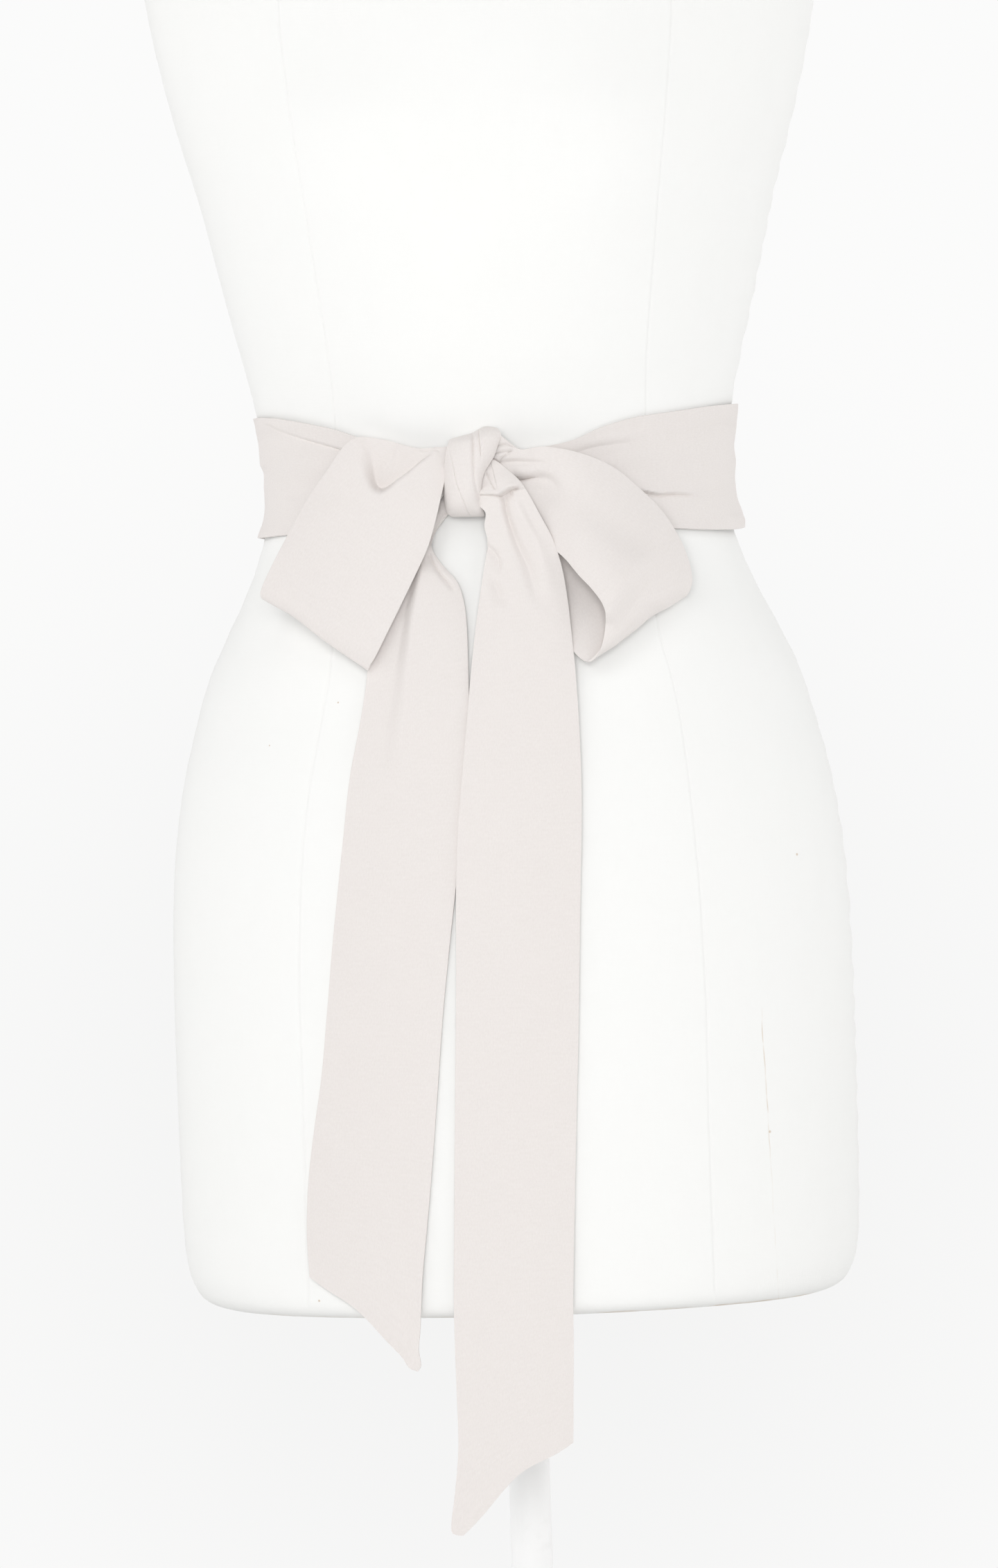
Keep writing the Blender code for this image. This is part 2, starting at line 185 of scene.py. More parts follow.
@dataclass(frozen=True)
class FormShape:
    """The dress form's skin, which the cloth follows.

    It has an elliptical front and back at each level, and a plain general bust.

    Attributes:
        levels: Its level sections, from the lower edge to the top of the neck.
        bust_x: Where the bust is fullest, across from the middle.
        bust_height: The height at which it is fullest.
        bust_rise: How far it stands out there.
        bust_spread_x: How far it spreads across.
        bust_spread_z: How far it spreads up and down.
        hang_height: The height under which cloth in front hangs straight down.
    """

    levels: tuple[Level, ...] = (
        Level(589.5, 158.0, 98.0, 97.0),
        Level(591.2, 164.0, 105.0, 102.0),
        Level(594.5, 170.0, 108.8, 107.0),
        Level(600, 174.0, 109.9, 111.0),
        Level(609, 177.5, 110.0, 115.0),
        Level(622, 179.3, 110.3, 118.0),
        Level(645, 180.3, 110.7, 120.0),
        Level(690, 180.8, 112.0, 123.5),
        Level(740, 181.0, 113.0, 126.0),
        Level(785, 180.4, 113.5, 128.0),
        Level(820, 178.6, 113.5, 128.0),
        Level(845, 175.8, 113.0, 127.0),
        Level(870, 171.5, 112.0, 125.0),
        Level(895, 165.2, 109.5, 121.5),
        Level(920, 157.8, 106.8, 117.0),
        Level(945, 146.5, 103.5, 110.5),
        Level(965, 136.5, 100.5, 103.5),
        Level(983, 129.0, 98.3, 97.5),
        Level(1000, 124.0, 97.0, 93.0),
        Level(1020, 121.5, 96.0, 91.0),
        Level(1040, 123.0, 96.0, 90.0),
        Level(1060, 126.0, 97.0, 91.0),
        Level(1085, 131.5, 101.5, 93.5),
        Level(1115, 139.0, 107.0, 97.0),
        Level(1145, 146.0, 111.5, 100.0),
        Level(1175, 153.0, 114.0, 103.0),
        Level(1205, 161.5, 114.0, 106.0),
        Level(1235, 169.2, 111.5, 108.5),
        Level(1265, 175.6, 107.5, 110.0),
        Level(1295, 180.5, 102.0, 110.0),
        Level(1325, 184.5, 95.5, 109.0),
        Level(1355, 186.5, 87.5, 106.0),
        Level(1380, 184.5, 79.5, 101.0),
        Level(1398, 174.0, 72.5, 95.0),
        Level(1412, 152.0, 66.5, 90.0),
        Level(1424, 122.0, 61.0, 85.0),
        Level(1434, 94.0, 56.5, 80.0),
        Level(1445, 73.0, 52.5, 75.5),
        Level(1460, 63.0, 50.0, 72.0),
        Level(1485, 60.0, 50.0, 70.0),
        Level(1500, 58.5, 49.0, 68.5),
        Level(1505, 55.0, 46.0, 66.0),
    )
    bust_x: float = 82.0
    bust_height: float = 1186.0
    bust_rise: float = 9.0
    bust_spread_x: float = 40.0
    bust_spread_z: float = 46.0
    hang_height: float = 650.0

    def section(self, z: np.ndarray) -> tuple[np.ndarray, np.ndarray, np.ndarray]:
        """The form's half width, front depth and back depth.

        Args:
            z: Heights.

        Returns:
            Half widths, front depths and back depths.
        """
        table = np.array(self.levels)
        half, front, back = (through_levels(table[:, 0], table[:, c], z) for c in (1, 2, 3))
        return half, front, back

    def wrap(self, angle: np.ndarray, z: np.ndarray, out: np.ndarray) -> np.ndarray:
        """Points round the form.

        Args:
            angle: Angles from the front towards +X, in radians.
            z: Heights.
            out: Clearances from the skin.

        Returns:
            Points in metres, one row each.
        """
        half, front, back = self.section(z)
        x = (half + out) * np.sin(angle)
        side = (np.abs(x) - self.bust_x) / self.bust_spread_x
        rise = (z - self.bust_height) / self.bust_spread_z
        bust = self.bust_rise * np.exp(-side * side - rise * rise)
        depth = np.where(np.cos(angle) > 0.0, front + bust, back)
        y = -(depth + out) * np.cos(angle)
        return np.stack([x, y, z], axis=1) * MM

    def drape(self, x: np.ndarray, z: np.ndarray, out: np.ndarray) -> np.ndarray:
        """Points of cloth in front of the form, hanging straight below it.

        Args:
            x: Places across.
            z: Heights.
            out: Clearances from the skin.

        Returns:
            Points in metres, one row each.
        """
        wrapped = np.maximum(z, self.hang_height)
        across = x / (self.section(wrapped)[0] + out)
        points = self.wrap(np.arcsin(np.clip(across, -1.0, 1.0)), wrapped, out)
        points[:, 2] = z * MM
        return points


SHAPE = FormShape()


# ------------------------------------------------------------------ creases


class CreaseKind(Enum):
    """How a crease lies in the cloth."""

    TROUGH = "a valley, or a ridge where its depth is negative"
    LAP = "the layer on the left of its line lies over the one on the right"


Taper = float | tuple[float, ...]


def taper(amount: Taper, share: np.ndarray) -> np.ndarray:
    """An amount along a line.

    Args:
        amount: One number, or several that are evenly spaced along the line.
        share: How far along it each point lies.

    Returns:
        The amount at each point.
    """
    if isinstance(amount, tuple):
        return np.interp(share, np.linspace(0.0, 1.0, len(amount)), amount)
    return np.full_like(share, amount)


NEVER_NEAR = 1e9  # farther off than any point is
LEAST_AWAY = 1e-6  # keeps a point on the line from dividing by zero
LEAST_WEIGHT = 1e-30  # keeps a blend of far parts from dividing by zero
FAR_AWAY = 60.0  # past this distance, all parts of a line count alike
ROW_EASE = 0.4  # the share of a station over which a crease stops at the end of its rows
UNDERCUT = 0.6  # how far past a lap's edge its shadow line is deepest, in widths of that line


@dataclass(frozen=True)
class Crease:
    """A crease along a line that is drawn on the front of the form.

    Left and right are as seen by one who walks the line from its start.

    Attributes:
        kind: Trough or lap.
        line: Its points, by x and z.
        depth: How deep the valley is, or how far the upper layer stands over the lower.
        left: How far it spreads to the left.
        right: How far it spreads to the right; in a lap, the width of the shadow line.
        fade_in: The share of its length over which it starts.
        fade_out: The share of its length over which it ends.
        rows: The stretch of the ribbon's stations that it lies on.
        cut: In a lap, how deep the shadow line is under the edge.
        floor: In a trough, the width of its flat bottom on the left.
        mix: How far apart two arms of a bent trough with a floor blend.
    """

    kind: CreaseKind
    line: tuple[tuple[float, float], ...]
    depth: Taper
    left: Taper
    right: Taper
    fade_in: float = 0.2
    fade_out: float = 0.3
    rows: tuple[float, float] = (0.0, 99.0)
    cut: Taper = 0.4
    floor: float = 0.0
    mix: float = 1.6

    def smooth_line(self) -> np.ndarray:
        """The line with several points on a smooth curve for each that is given."""
        rows = np.linspace(0.0, len(self.line) - 1.0, 6 * (len(self.line) - 1) + 1)
        return through_rows(np.array(self.line, float), rows)

    def measure(
        self, x: np.ndarray, z: np.ndarray
    ) -> tuple[np.ndarray, np.ndarray, np.ndarray, np.ndarray]:
        """Where points lie by the line.

        Args:
            x: Places across.
            z: Heights.

        Returns:
            Distances from the line, sides (from 1 on its left to -1 on its right), shares
            along it, and shares that are blended over its parts, to turn corners softly.
        """
        line = self.smooth_line()
        steps = np.diff(line, axis=0)
        lengths = np.hypot(steps[:, 0], steps[:, 1])
        walked = np.concatenate([[0.0], np.cumsum(lengths)])
        nearest = np.full(x.shape, NEVER_NEAR)
        side = np.zeros_like(x)
        share = np.zeros_like(x)
        weights = np.full(x.shape, LEAST_WEIGHT)
        soft_share = 0.5 * weights
        for index, (step, length) in enumerate(zip(steps, lengths)):
            from_x, from_z = x - line[index, 0], z - line[index, 1]
            along = np.clip((from_x * step[0] + from_z * step[1]) / length**2, 0.0, 1.0)
            off_x, off_z = from_x - along * step[0], from_z - along * step[1]
            away = np.hypot(off_x, off_z)
            closer = away < nearest
            cross = step[0] * off_z - step[1] * off_x
            turn = cross / (length * np.maximum(away, LEAST_AWAY))
            nearest = np.where(closer, away, nearest)
            side = np.where(closer, turn, side)
            here = (walked[index] + along * length) / walked[-1]
            share = np.where(closer, here, share)
            weight = np.exp(-np.minimum(away, FAR_AWAY) / self.mix)
            weights += weight
            soft_share += weight * here
        return nearest, side, share, soft_share / weights

    def rise(self, x: np.ndarray, z: np.ndarray, row: np.ndarray) -> np.ndarray:
        """How far the crease moves the cloth out from the form.

        Args:
            x: Places across.
            z: Heights.
            row: Row numbers of the ribbon's stations.

        Returns:
            Rises, negative inwards.
        """
        nearest, side, share, soft_share = self.measure(x, z)
        strength = np.ones_like(x)
        if self.fade_in > 0.0:
            strength *= smooth_step(share / self.fade_in)
        if self.fade_out > 0.0:
            strength *= smooth_step((1.0 - share) / self.fade_out)
        if self.rows[0] > 0.0:
            strength *= smooth_step((row - self.rows[0]) / ROW_EASE)
        strength *= smooth_step((self.rows[1] - row) / ROW_EASE)
        if self.kind is CreaseKind.TROUGH and self.floor > 0.0:
            share = soft_share
        depth, left, right = (taper(a, share) for a in (self.depth, self.left, self.right))
        if self.kind is CreaseKind.TROUGH:
            spread = right + (left - right) * (0.5 + 0.5 * side)
            away = np.maximum(nearest - self.floor * np.maximum(side, 0.0), 0.0)
            return -depth * strength * np.exp(-((away / spread) ** 2))
        signed = nearest * side
        over = smooth_step(0.5 + signed / (2.0 * right))
        lap = depth * over * np.exp(-np.maximum(signed, 0.0) / left)
        shadow = taper(self.cut, share) * np.exp(-((signed / right + UNDERCUT) ** 2))
        return strength * (lap - shadow)


class Push(NamedTuple):
    """A small shift of the cloth in the plane of the front, round one place."""

    x: float
    z: float
    spread: float
    shift_x: float
    shift_z: float


class Fold(NamedTuple):
    """A broad soft trough (or a ridge, where depth is negative) along a ribbon.

    It runs from one station to another, at a share of the width from edge A at each
    end. Its depth is in millimetres and its spread in widths.
    """

    start: float
    start_across: float
    end: float
    end_across: float
    depth: float
    spread: float


# ------------------------------------------------------------------ meshes


def lay_grid(steps: tuple[int, int]) -> tuple[bmesh.types.BMesh, np.ndarray, np.ndarray]:
    """A flat grid, ready to be laid on a surface.

    Args:
        steps: Faces along and across.

    Returns:
        The mesh, and each vertex's share along and across.
    """
    bm = bmesh.new()
    bmesh.ops.create_grid(bm, x_segments=steps[0], y_segments=steps[1], size=0.5)
    flat = np.array([vert.co[:2] for vert in bm.verts])
    return bm, np.clip(flat[:, 0] + 0.5, 0.0, 1.0), np.clip(flat[:, 1] + 0.5, 0.0, 1.0)


def place_verts(bm: bmesh.types.BMesh, points: np.ndarray) -> None:
    """Move every vertex of a mesh to its point."""
    for vert, point in zip(bm.verts, points):
        vert.co = point


def make_piece(
    name: str, bm: bmesh.types.BMesh, material: bpy.types.Material
) -> bpy.types.Object:
    """Turn a bmesh into a smooth piece that rides on the root body.

    Args:
        name: The piece's name.
        bm: Its mesh, which is freed.
        material: Its finish.

    Returns:
        The new object, at the origin.
    """
    mesh = bpy.data.meshes.new(name)
    bm.to_mesh(mesh)
    bm.free()
    mesh.materials.append(material)
    mesh.shade_smooth()
    piece = bpy.data.objects.new(name, mesh)
    bpy.context.scene.collection.objects.link(piece)
    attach(piece, ROOT)
    return piece


def set_uv(piece: bpy.types.Object, along: np.ndarray, across: np.ndarray) -> None:
    """Give a piece a UV map in metres along and across its cloth.

    Args:
        piece: The piece.
        along: Each vertex's distance along the cloth.
        across: Each vertex's distance across it.
    """
    corners = np.empty(len(piece.data.loops), dtype=np.int32)
    piece.data.loops.foreach_get("vertex_index", corners)
    layer = piece.data.uv_layers.new(name=TEXTILE_UV)
    layer.data.foreach_set("uv", np.stack([along, across], axis=1)[corners].ravel())


# ------------------------------------------------------------------ finishes


# A Mix node's sockets for colours, which share their names with those for numbers.
MIX_SHARE, MIX_FIRST, MIX_SECOND = 0, 6, 7
MIX_RESULT = 2


class Sketch:
    """A material's node tree, with short calls that add and join nodes."""

    def __init__(self, name: str) -> None:
        """Start a Principled material.

        Args:
            name: The material's name.
        """
        self.material = bpy.data.materials.new(name)
        self.material.use_nodes = True
        self.nodes = self.material.node_tree.nodes
        self.links = self.material.node_tree.links
        self.shader = self.nodes["Principled BSDF"]

    def node(self, kind: str, **settings: object) -> bpy.types.Node:
        """Add a node.

        Args:
            kind: Its type, without the leading ShaderNode.
            **settings: Its own properties.

        Returns:
            The node.
        """
        made = self.nodes.new("ShaderNode" + kind)
        for key, value in settings.items():
            setattr(made, key, value)
        return made

    def join(self, source: bpy.types.NodeSocket, target: bpy.types.NodeSocket) -> None:
        """Link one socket to another."""
        self.links.new(source, target)

    def fill(self, socket: bpy.types.NodeSocket, value: object) -> None:
        """Give a socket a value.

        Args:
            socket: The socket.
            value: Another socket, which is linked to it, or else what it is set to.
        """
        if isinstance(value, bpy.types.NodeSocket):
            self.join(value, socket)
        else:
            socket.default_value = value

    def math(self, operation: str, first: object, second: object = 0.0) -> bpy.types.NodeSocket:
        """A Math node of two values.

        Args:
            operation: What it does, such as MULTIPLY.
            first: A number or socket.
            second: A number or socket.

        Returns:
            Its result.
        """
        made = self.node("Math", operation=operation)
        self.fill(made.inputs[0], first)
        self.fill(made.inputs[1], second)
        return made.outputs[0]

    def place(
        self, source: bpy.types.NodeSocket, scale: tuple[float, float, float]
    ) -> bpy.types.NodeSocket:
        """Coordinates times a scale on each axis.

        Args:
            source: The coordinates.
            scale: Their scales. One under 1 draws a pattern out along its axis.

        Returns:
            The scaled coordinates.
        """
        made = self.node("Mapping")
        self.join(source, made.inputs["Vector"])
        made.inputs["Scale"].default_value = scale
        return made.outputs[0]

    def noise(
        self, source: bpy.types.NodeSocket, scale: float, detail: float = 2.0, rough: float = 0.5
    ) -> bpy.types.NodeSocket:
        """Even noise, from about 0.2 to 0.8.

        Args:
            source: The coordinates that it is read at.
            scale: Its scale, per metre.
            detail: Its finer layers.
            rough: How strong those are.

        Returns:
            Its value.
        """
        made = self.node("TexNoise")
        self.join(source, made.inputs["Vector"])
        made.inputs["Scale"].default_value = scale
        made.inputs["Detail"].default_value = detail
        made.inputs["Roughness"].default_value = rough
        return made.outputs[0]

    def spread(
        self, source: bpy.types.NodeSocket, given: tuple[float, float], wanted: tuple[float, float]
    ) -> bpy.types.NodeSocket:
        """A value moved from one range to another and held in it.

        Args:
            source: The value.
            given: The two ends of the range it comes from.
            wanted: What it is at those two ends.

        Returns:
            The moved value.
        """
        made = self.node("MapRange")
        self.join(source, made.inputs["Value"])
        made.inputs["From Min"].default_value = given[0]
        made.inputs["From Max"].default_value = given[1]
        made.inputs["To Min"].default_value = wanted[0]
        made.inputs["To Max"].default_value = wanted[1]
        return made.outputs[0]

    def blend(self, share: object, first: object, second: object) -> bpy.types.NodeSocket:
        """A mix of two colours.

        Args:
            share: How much of the second, a number or socket.
            first: A colour or socket.
            second: A colour or socket.

        Returns:
            The mixed colour.
        """
        made = self.node("Mix", data_type="RGBA")
        self.fill(made.inputs[MIX_SHARE], share)
        self.fill(made.inputs[MIX_FIRST], first)
        self.fill(made.inputs[MIX_SECOND], second)
        return made.outputs[MIX_RESULT]

    def bump(
        self,
        height: bpy.types.NodeSocket,
        distance: float,
        strength: float,
        under: bpy.types.NodeSocket | None = None,
    ) -> bpy.types.NodeSocket:
        """A Bump node.

        Args:
            height: The height it shows.
            distance: The height of 1, in metres.
            strength: How much of it counts.
            under: The normal that it lies on.

        Returns:
            The bumped normal.
        """
        made = self.node("Bump")
        self.join(height, made.inputs["Height"])
        made.inputs["Distance"].default_value = distance
        made.inputs["Strength"].default_value = strength
        if under is not None:
            self.join(under, made.inputs["Normal"])
        return made.outputs[0]

    def set(self, **values: object) -> None:
        """Set or link the shader's sockets, named with low lines for spaces."""
        for key, value in values.items():
            self.fill(self.shader.inputs[key.replace("_", " ")], value)


def tone(red: float, green: float, blue: float) -> Colour:
    """A colour with full alpha."""
    return (red, green, blue, 1.0)


@dataclass(frozen=True)
class CrepeFinish:
    """The matt crepe side of a satin-back crepe: pebbled, softly mottled, hardly shiny.

    Attributes:
        light: Its colour on top of the pebbles.
        deep: Its colour between them, darker as painted shade in the pebbles' hollows.
        cloudy: The colour that faint clouds draw it towards.
        sheen: The colour of its faint sheen.
        pebbles: How many pebbles there are in a metre.
        threads: How many threads there are in a metre.
        slubs: How many uneven spots of thread there are in a metre.
        crinkles: How many soft crinkles there are in a metre.
        clouds: How many clouds there are in a metre.
        thread_share: How much the threads count against the pebbles.
        slub_share: How much the uneven spots count against them.
        pebble_rise: How high the pebbles stand, in metres.
        crinkle_rise: How high the crinkles stand, in metres.
    """

    light: Colour = tone(0.813, 0.773, 0.751)
    # deep is painted shade: the colour in the pebbles' hollows.
    deep: Colour = tone(0.770, 0.726, 0.703)
    cloudy: Colour = tone(0.795, 0.745, 0.722)
    sheen: Colour = tone(1.0, 0.965, 0.945)
    pebbles: float = 1150.0
    threads: float = 2300.0
    slubs: float = 900.0
    crinkles: float = 330.0
    clouds: float = 38.0
    thread_share: float = 0.35
    slub_share: float = 0.3
    pebble_rise: float = 0.00012
    crinkle_rise: float = 0.00022

    def build(self) -> bpy.types.Material:
        """Make the material.

        Returns:
            The crepe, whose pattern follows the cloth's UV map.
        """
        sketch = Sketch("crepe")
        uv = sketch.node("UVMap", uv_map=TEXTILE_UV).outputs[0]
        long_way = sketch.place(uv, (0.55, 1.0, 1.0))
        pebble = sketch.noise(long_way, self.pebbles, detail=3.0, rough=0.6)
        crinkle = sketch.noise(long_way, self.crinkles, detail=2.0, rough=0.55)
        cloud = sketch.noise(uv, self.clouds, detail=3.0, rough=0.55)
        twist = sketch.noise(sketch.place(uv, (0.2, 1.0, 1.0)), self.threads, detail=1.0)
        slub = sketch.noise(sketch.place(uv, (1.0, 0.12, 1.0)), self.slubs, detail=1.0)
        grain = sketch.math("ADD", pebble, sketch.math("MULTIPLY", twist, self.thread_share))
        height = sketch.math("ADD", grain, sketch.math("MULTIPLY", slub, self.slub_share))
        # Painted shade: the colour darkens from the pebbles' tops into their hollows.
        base = sketch.blend(sketch.spread(height, (0.55, 1.05), (0.0, 1.0)), self.deep, self.light)
        haze = sketch.spread(cloud, (0.3, 0.7), (0.0, 0.22))
        base = sketch.blend(haze, base, self.cloudy)
        normal = sketch.bump(crinkle, self.crinkle_rise, strength=0.12)
        normal = sketch.bump(height, self.pebble_rise, strength=0.5, under=normal)
        sketch.set(
            Base_Color=base,
            Roughness=sketch.spread(pebble, (0.3, 0.7), (0.70, 0.58)),
            Specular_IOR_Level=0.32,
            Sheen_Weight=0.16,
            Sheen_Roughness=0.45,
            Sheen_Tint=self.sheen,
            Normal=normal,
        )
        return sketch.material


class Seam(NamedTuple):
    """A place on the line of the front princess seam: height, and distance from the middle."""

    z: float
    x: float


class Speck(NamedTuple):
    """A rusty speck on the front of the form: its place across, height and radius."""

    x: float
    z: float
    radius: float


@dataclass(frozen=True)
class CanvasFinish:
    """Stretched canvas painted white: a fine weave, brush marks, soiling and a few knocks.

    Places are in metres, except those of the specks, which are in millimetres.

    Attributes:
        paint: The paint's colour.
        soiled: The colour that soiling draws it towards.
        thin: The colour that thin paint draws it towards.
        rust: The colour of the rusty marks.
        weave: How many threads there are in a metre.
        strokes: How many brush marks there are in a metre.
        clouds: How many soiled patches there are in a metre.
        chips: How many chips there are in a metre of the lower edge.
        weave_rise: How high the threads stand.
        stroke_rise: How high the brush marks stand.
        rim: The heights between which the rusty tint of the lower edge fades out.
        rim_side: The places across between which that tint grows strong.
        scratch_x: Where the line of the scratch would meet the floor, across.
        scratch_lean: How far the scratch goes across for each metre up.
        scratch_half: How far from its line the scratch is full, and where it ends.
        scratch_bottom: The heights between which it grows from faint to full.
        scratch_top: The heights between which it ends.
        specks: The rusty specks.
    """

    paint: Colour = tone(0.912, 0.912, 0.899)
    soiled: Colour = tone(0.905, 0.905, 0.886)
    thin: Colour = tone(0.895, 0.897, 0.882)
    rust: Colour = tone(0.52, 0.36, 0.20)
    weave: float = 1050.0
    strokes: float = 70.0
    clouds: float = 9.0
    chips: float = 60.0
    weave_rise: float = 0.00010
    stroke_rise: float = 0.00030
    rim: tuple[float, float] = (0.5899, 0.5913)
    rim_side: tuple[float, float] = (-0.02, 0.11)
    scratch_x: float = 0.15071
    scratch_lean: float = -0.0264
    scratch_half: tuple[float, float] = (0.00010, 0.00040)
    scratch_bottom: tuple[float, float] = (0.658, 0.682)
    scratch_top: tuple[float, float] = (0.730, 0.744)
    specks: tuple[Speck, ...] = (
        Speck(-101.8, 599.5, 0.8),
        Speck(-81.4, 907.7, 0.6),
        Speck(-119.0, 886.9, 0.5),
        Speck(152.3, 821.3, 0.9),
        Speck(133.3, 678.8, 0.95),
    )

    def build(self) -> bpy.types.Material:
        """Make the material.

        Returns:
            The painted canvas, whose pattern follows the form's own coordinates.
        """
        sketch = Sketch("painted_canvas")
        spot = sketch.node("TexCoord").outputs["Object"]
        split = sketch.node("SeparateXYZ")
        sketch.join(spot, split.inputs[0])
        x, y, z = split.outputs
        warp = sketch.noise(sketch.place(spot, (1.0, 1.0, 0.10)), self.weave, detail=1.0)
        weft = sketch.noise(sketch.place(spot, (0.12, 0.12, 1.0)), self.weave, detail=1.0)
        cloth = sketch.math("ADD", warp, weft)
        upright = sketch.place(spot, (1.0, 1.0, 0.25))
        brush = sketch.noise(upright, self.strokes, detail=4.0, rough=0.6)
        cloud = sketch.noise(spot, self.clouds, detail=4.0, rough=0.6)
        soil = sketch.spread(cloud, (0.40, 0.75), (0.0, 0.35))
        base = sketch.blend(soil, self.paint, self.soiled)
        bare = sketch.math("MULTIPLY", sketch.spread(brush, (0.5, 0.8), (0.0, 0.5)), 0.5)
        base = sketch.blend(bare, base, self.thin)
        edge = sketch.spread(z, self.rim, (0.6, 0.0))
        edge = sketch.math("MULTIPLY", edge, sketch.spread(x, self.rim_side, (0.25, 1.0)))
        chip = sketch.noise(spot, self.chips, detail=3.0, rough=0.6)
        chip = sketch.spread(chip, (0.38, 0.62), (0.0, 1.0))
        base = sketch.blend(sketch.math("MULTIPLY", edge, chip), base, self.rust)
        base = sketch.blend(self.scratch(sketch, x, y, z, spot), base, self.rust)
        normal = sketch.bump(cloth, self.weave_rise, strength=0.35)
        normal = sketch.bump(brush, self.stroke_rise, strength=0.25, under=normal)
        sketch.set(
            Base_Color=base,
            Roughness=sketch.spread(brush, (0.3, 0.7), (0.62, 0.78)),
            Specular_IOR_Level=0.35,
            Normal=normal,
        )
        return sketch.material

    def scratch(
        self,
        sketch: Sketch,
        x: bpy.types.NodeSocket,
        y: bpy.types.NodeSocket,
        z: bpy.types.NodeSocket,
        spot: bpy.types.NodeSocket,
    ) -> bpy.types.NodeSocket:
        """Where the thin rusty scratch on the hip and the few rusty specks are.

        Args:
            sketch: The material being made.
            x: Places across, in metres.
            y: Places deep.
            z: Heights.
            spot: The whole coordinates.

        Returns:
            Towards 1 on them and 0 off them.
        """
        wobble = sketch.noise(spot, 60.0, detail=2.0)
        wobble = sketch.spread(wobble, (0.3, 0.7), (-0.0003, 0.0003))
        line = sketch.math("ADD", sketch.math("MULTIPLY", z, self.scratch_lean), self.scratch_x)
        line = sketch.math("ADD", line, wobble)
        off = sketch.math("ABSOLUTE", sketch.math("SUBTRACT", x, line))
        fine = sketch.spread(off, self.scratch_half, (1.0, 0.0))
        top = sketch.spread(z, self.scratch_top, (1.0, 0.0))
        bottom = sketch.spread(z, self.scratch_bottom, (0.25, 1.0))
        front = sketch.spread(y, (-0.02, -0.01), (1.0, 0.0))
        uneven = sketch.spread(sketch.noise(spot, 90.0, detail=3.0), (0.38, 0.58), (0.05, 0.42))
        found = sketch.math("MULTIPLY", sketch.math("MULTIPLY", fine, top), bottom)
        found = sketch.math("MULTIPLY", sketch.math("MULTIPLY", found, front), uneven)
        for speck in self.specks:
            level = np.array([speck.z])
            turn = np.arcsin(speck.x / SHAPE.section(level)[0])
            place = SHAPE.wrap(turn, level, np.zeros(1))[0]
            near = sketch.node("VectorMath", operation="DISTANCE")
            sketch.join(spot, near.inputs[0])
            near.inputs[1].default_value = tuple(place)
            radii = (0.4 * speck.radius * MM, speck.radius * MM)
            dot = sketch.spread(near.outputs["Value"], radii, (0.6, 0.0))
            found = sketch.math("MAXIMUM", found, dot)
        return found


@dataclass(frozen=True)
class EnamelFinish:
    """White stoved enamel on the stand: smooth, faintly orange-peeled, scuffed in places.

    Attributes:
        colour: Its own colour.
        scuff: The colour that scuffs draw it towards.
        dimples: How many dimples of orange peel there are in a metre.
        clouds: How many scuffed patches there are in a metre.
        dimple_rise: How deep the dimples are, in metres.
    """

    colour: Colour = tone(0.92, 0.92, 0.92)
    scuff: Colour = tone(0.82, 0.82, 0.81)
    dimples: float = 420.0
    clouds: float = 26.0
    dimple_rise: float = 0.00005

    def build(self) -> bpy.types.Material:
        """Make the material.

        Returns:
            The enamel.
        """
        sketch = Sketch("white_enamel")
        spot = sketch.node("TexCoord").outputs["Object"]
        peel = sketch.noise(spot, self.dimples, detail=2.0)
        cloud = sketch.noise(spot, self.clouds, detail=5.0, rough=0.65)
        marks = sketch.spread(cloud, (0.60, 0.72), (0.0, 0.45))
        sketch.set(
            Base_Color=sketch.blend(marks, self.colour, self.scuff),
            Roughness=sketch.spread(cloud, (0.3, 0.7), (0.50, 0.62)),
            Specular_IOR_Level=0.3,
            Normal=sketch.bump(peel, self.dimple_rise, strength=0.2),
        )
        return sketch.material


@dataclass(frozen=True)
class FloorFinish:
    """The plain pale studio floor.

    Attributes:
        colour: Its own colour.
        cloudy: The colour that faint clouds draw it towards.
        clouds: How many clouds there are in a metre.
    """

    colour: Colour = tone(0.93, 0.93, 0.925)
    cloudy: Colour = tone(0.91, 0.91, 0.905)
    clouds: float = 3.0

    def build(self) -> bpy.types.Material:
        """Make the material.

        Returns:
            The floor's finish.
        """
        sketch = Sketch("studio_floor")
        spot = sketch.node("TexCoord").outputs["Object"]
        cloud = sketch.spread(sketch.noise(spot, self.clouds), (0.3, 0.7), (0.0, 0.3))
        sketch.set(
            Base_Color=sketch.blend(cloud, self.colour, self.cloudy),
            Roughness=0.85,
            Specular_IOR_Level=0.2,
        )
        return sketch.material


# ------------------------------------------------------------------ studio


class Lamp(NamedTuple):
    """A square soft light: degrees from the front towards +X and up, its side and its watts."""

    name: str
    turn: float
    rise: float
    size: float
    power: float


class Bank(NamedTuple):
    """A wide soft bank of light: its direction, where it starts and is full, and its glow."""

    way: tuple[float, float, float]
    low: float
    high: float
    glow: float


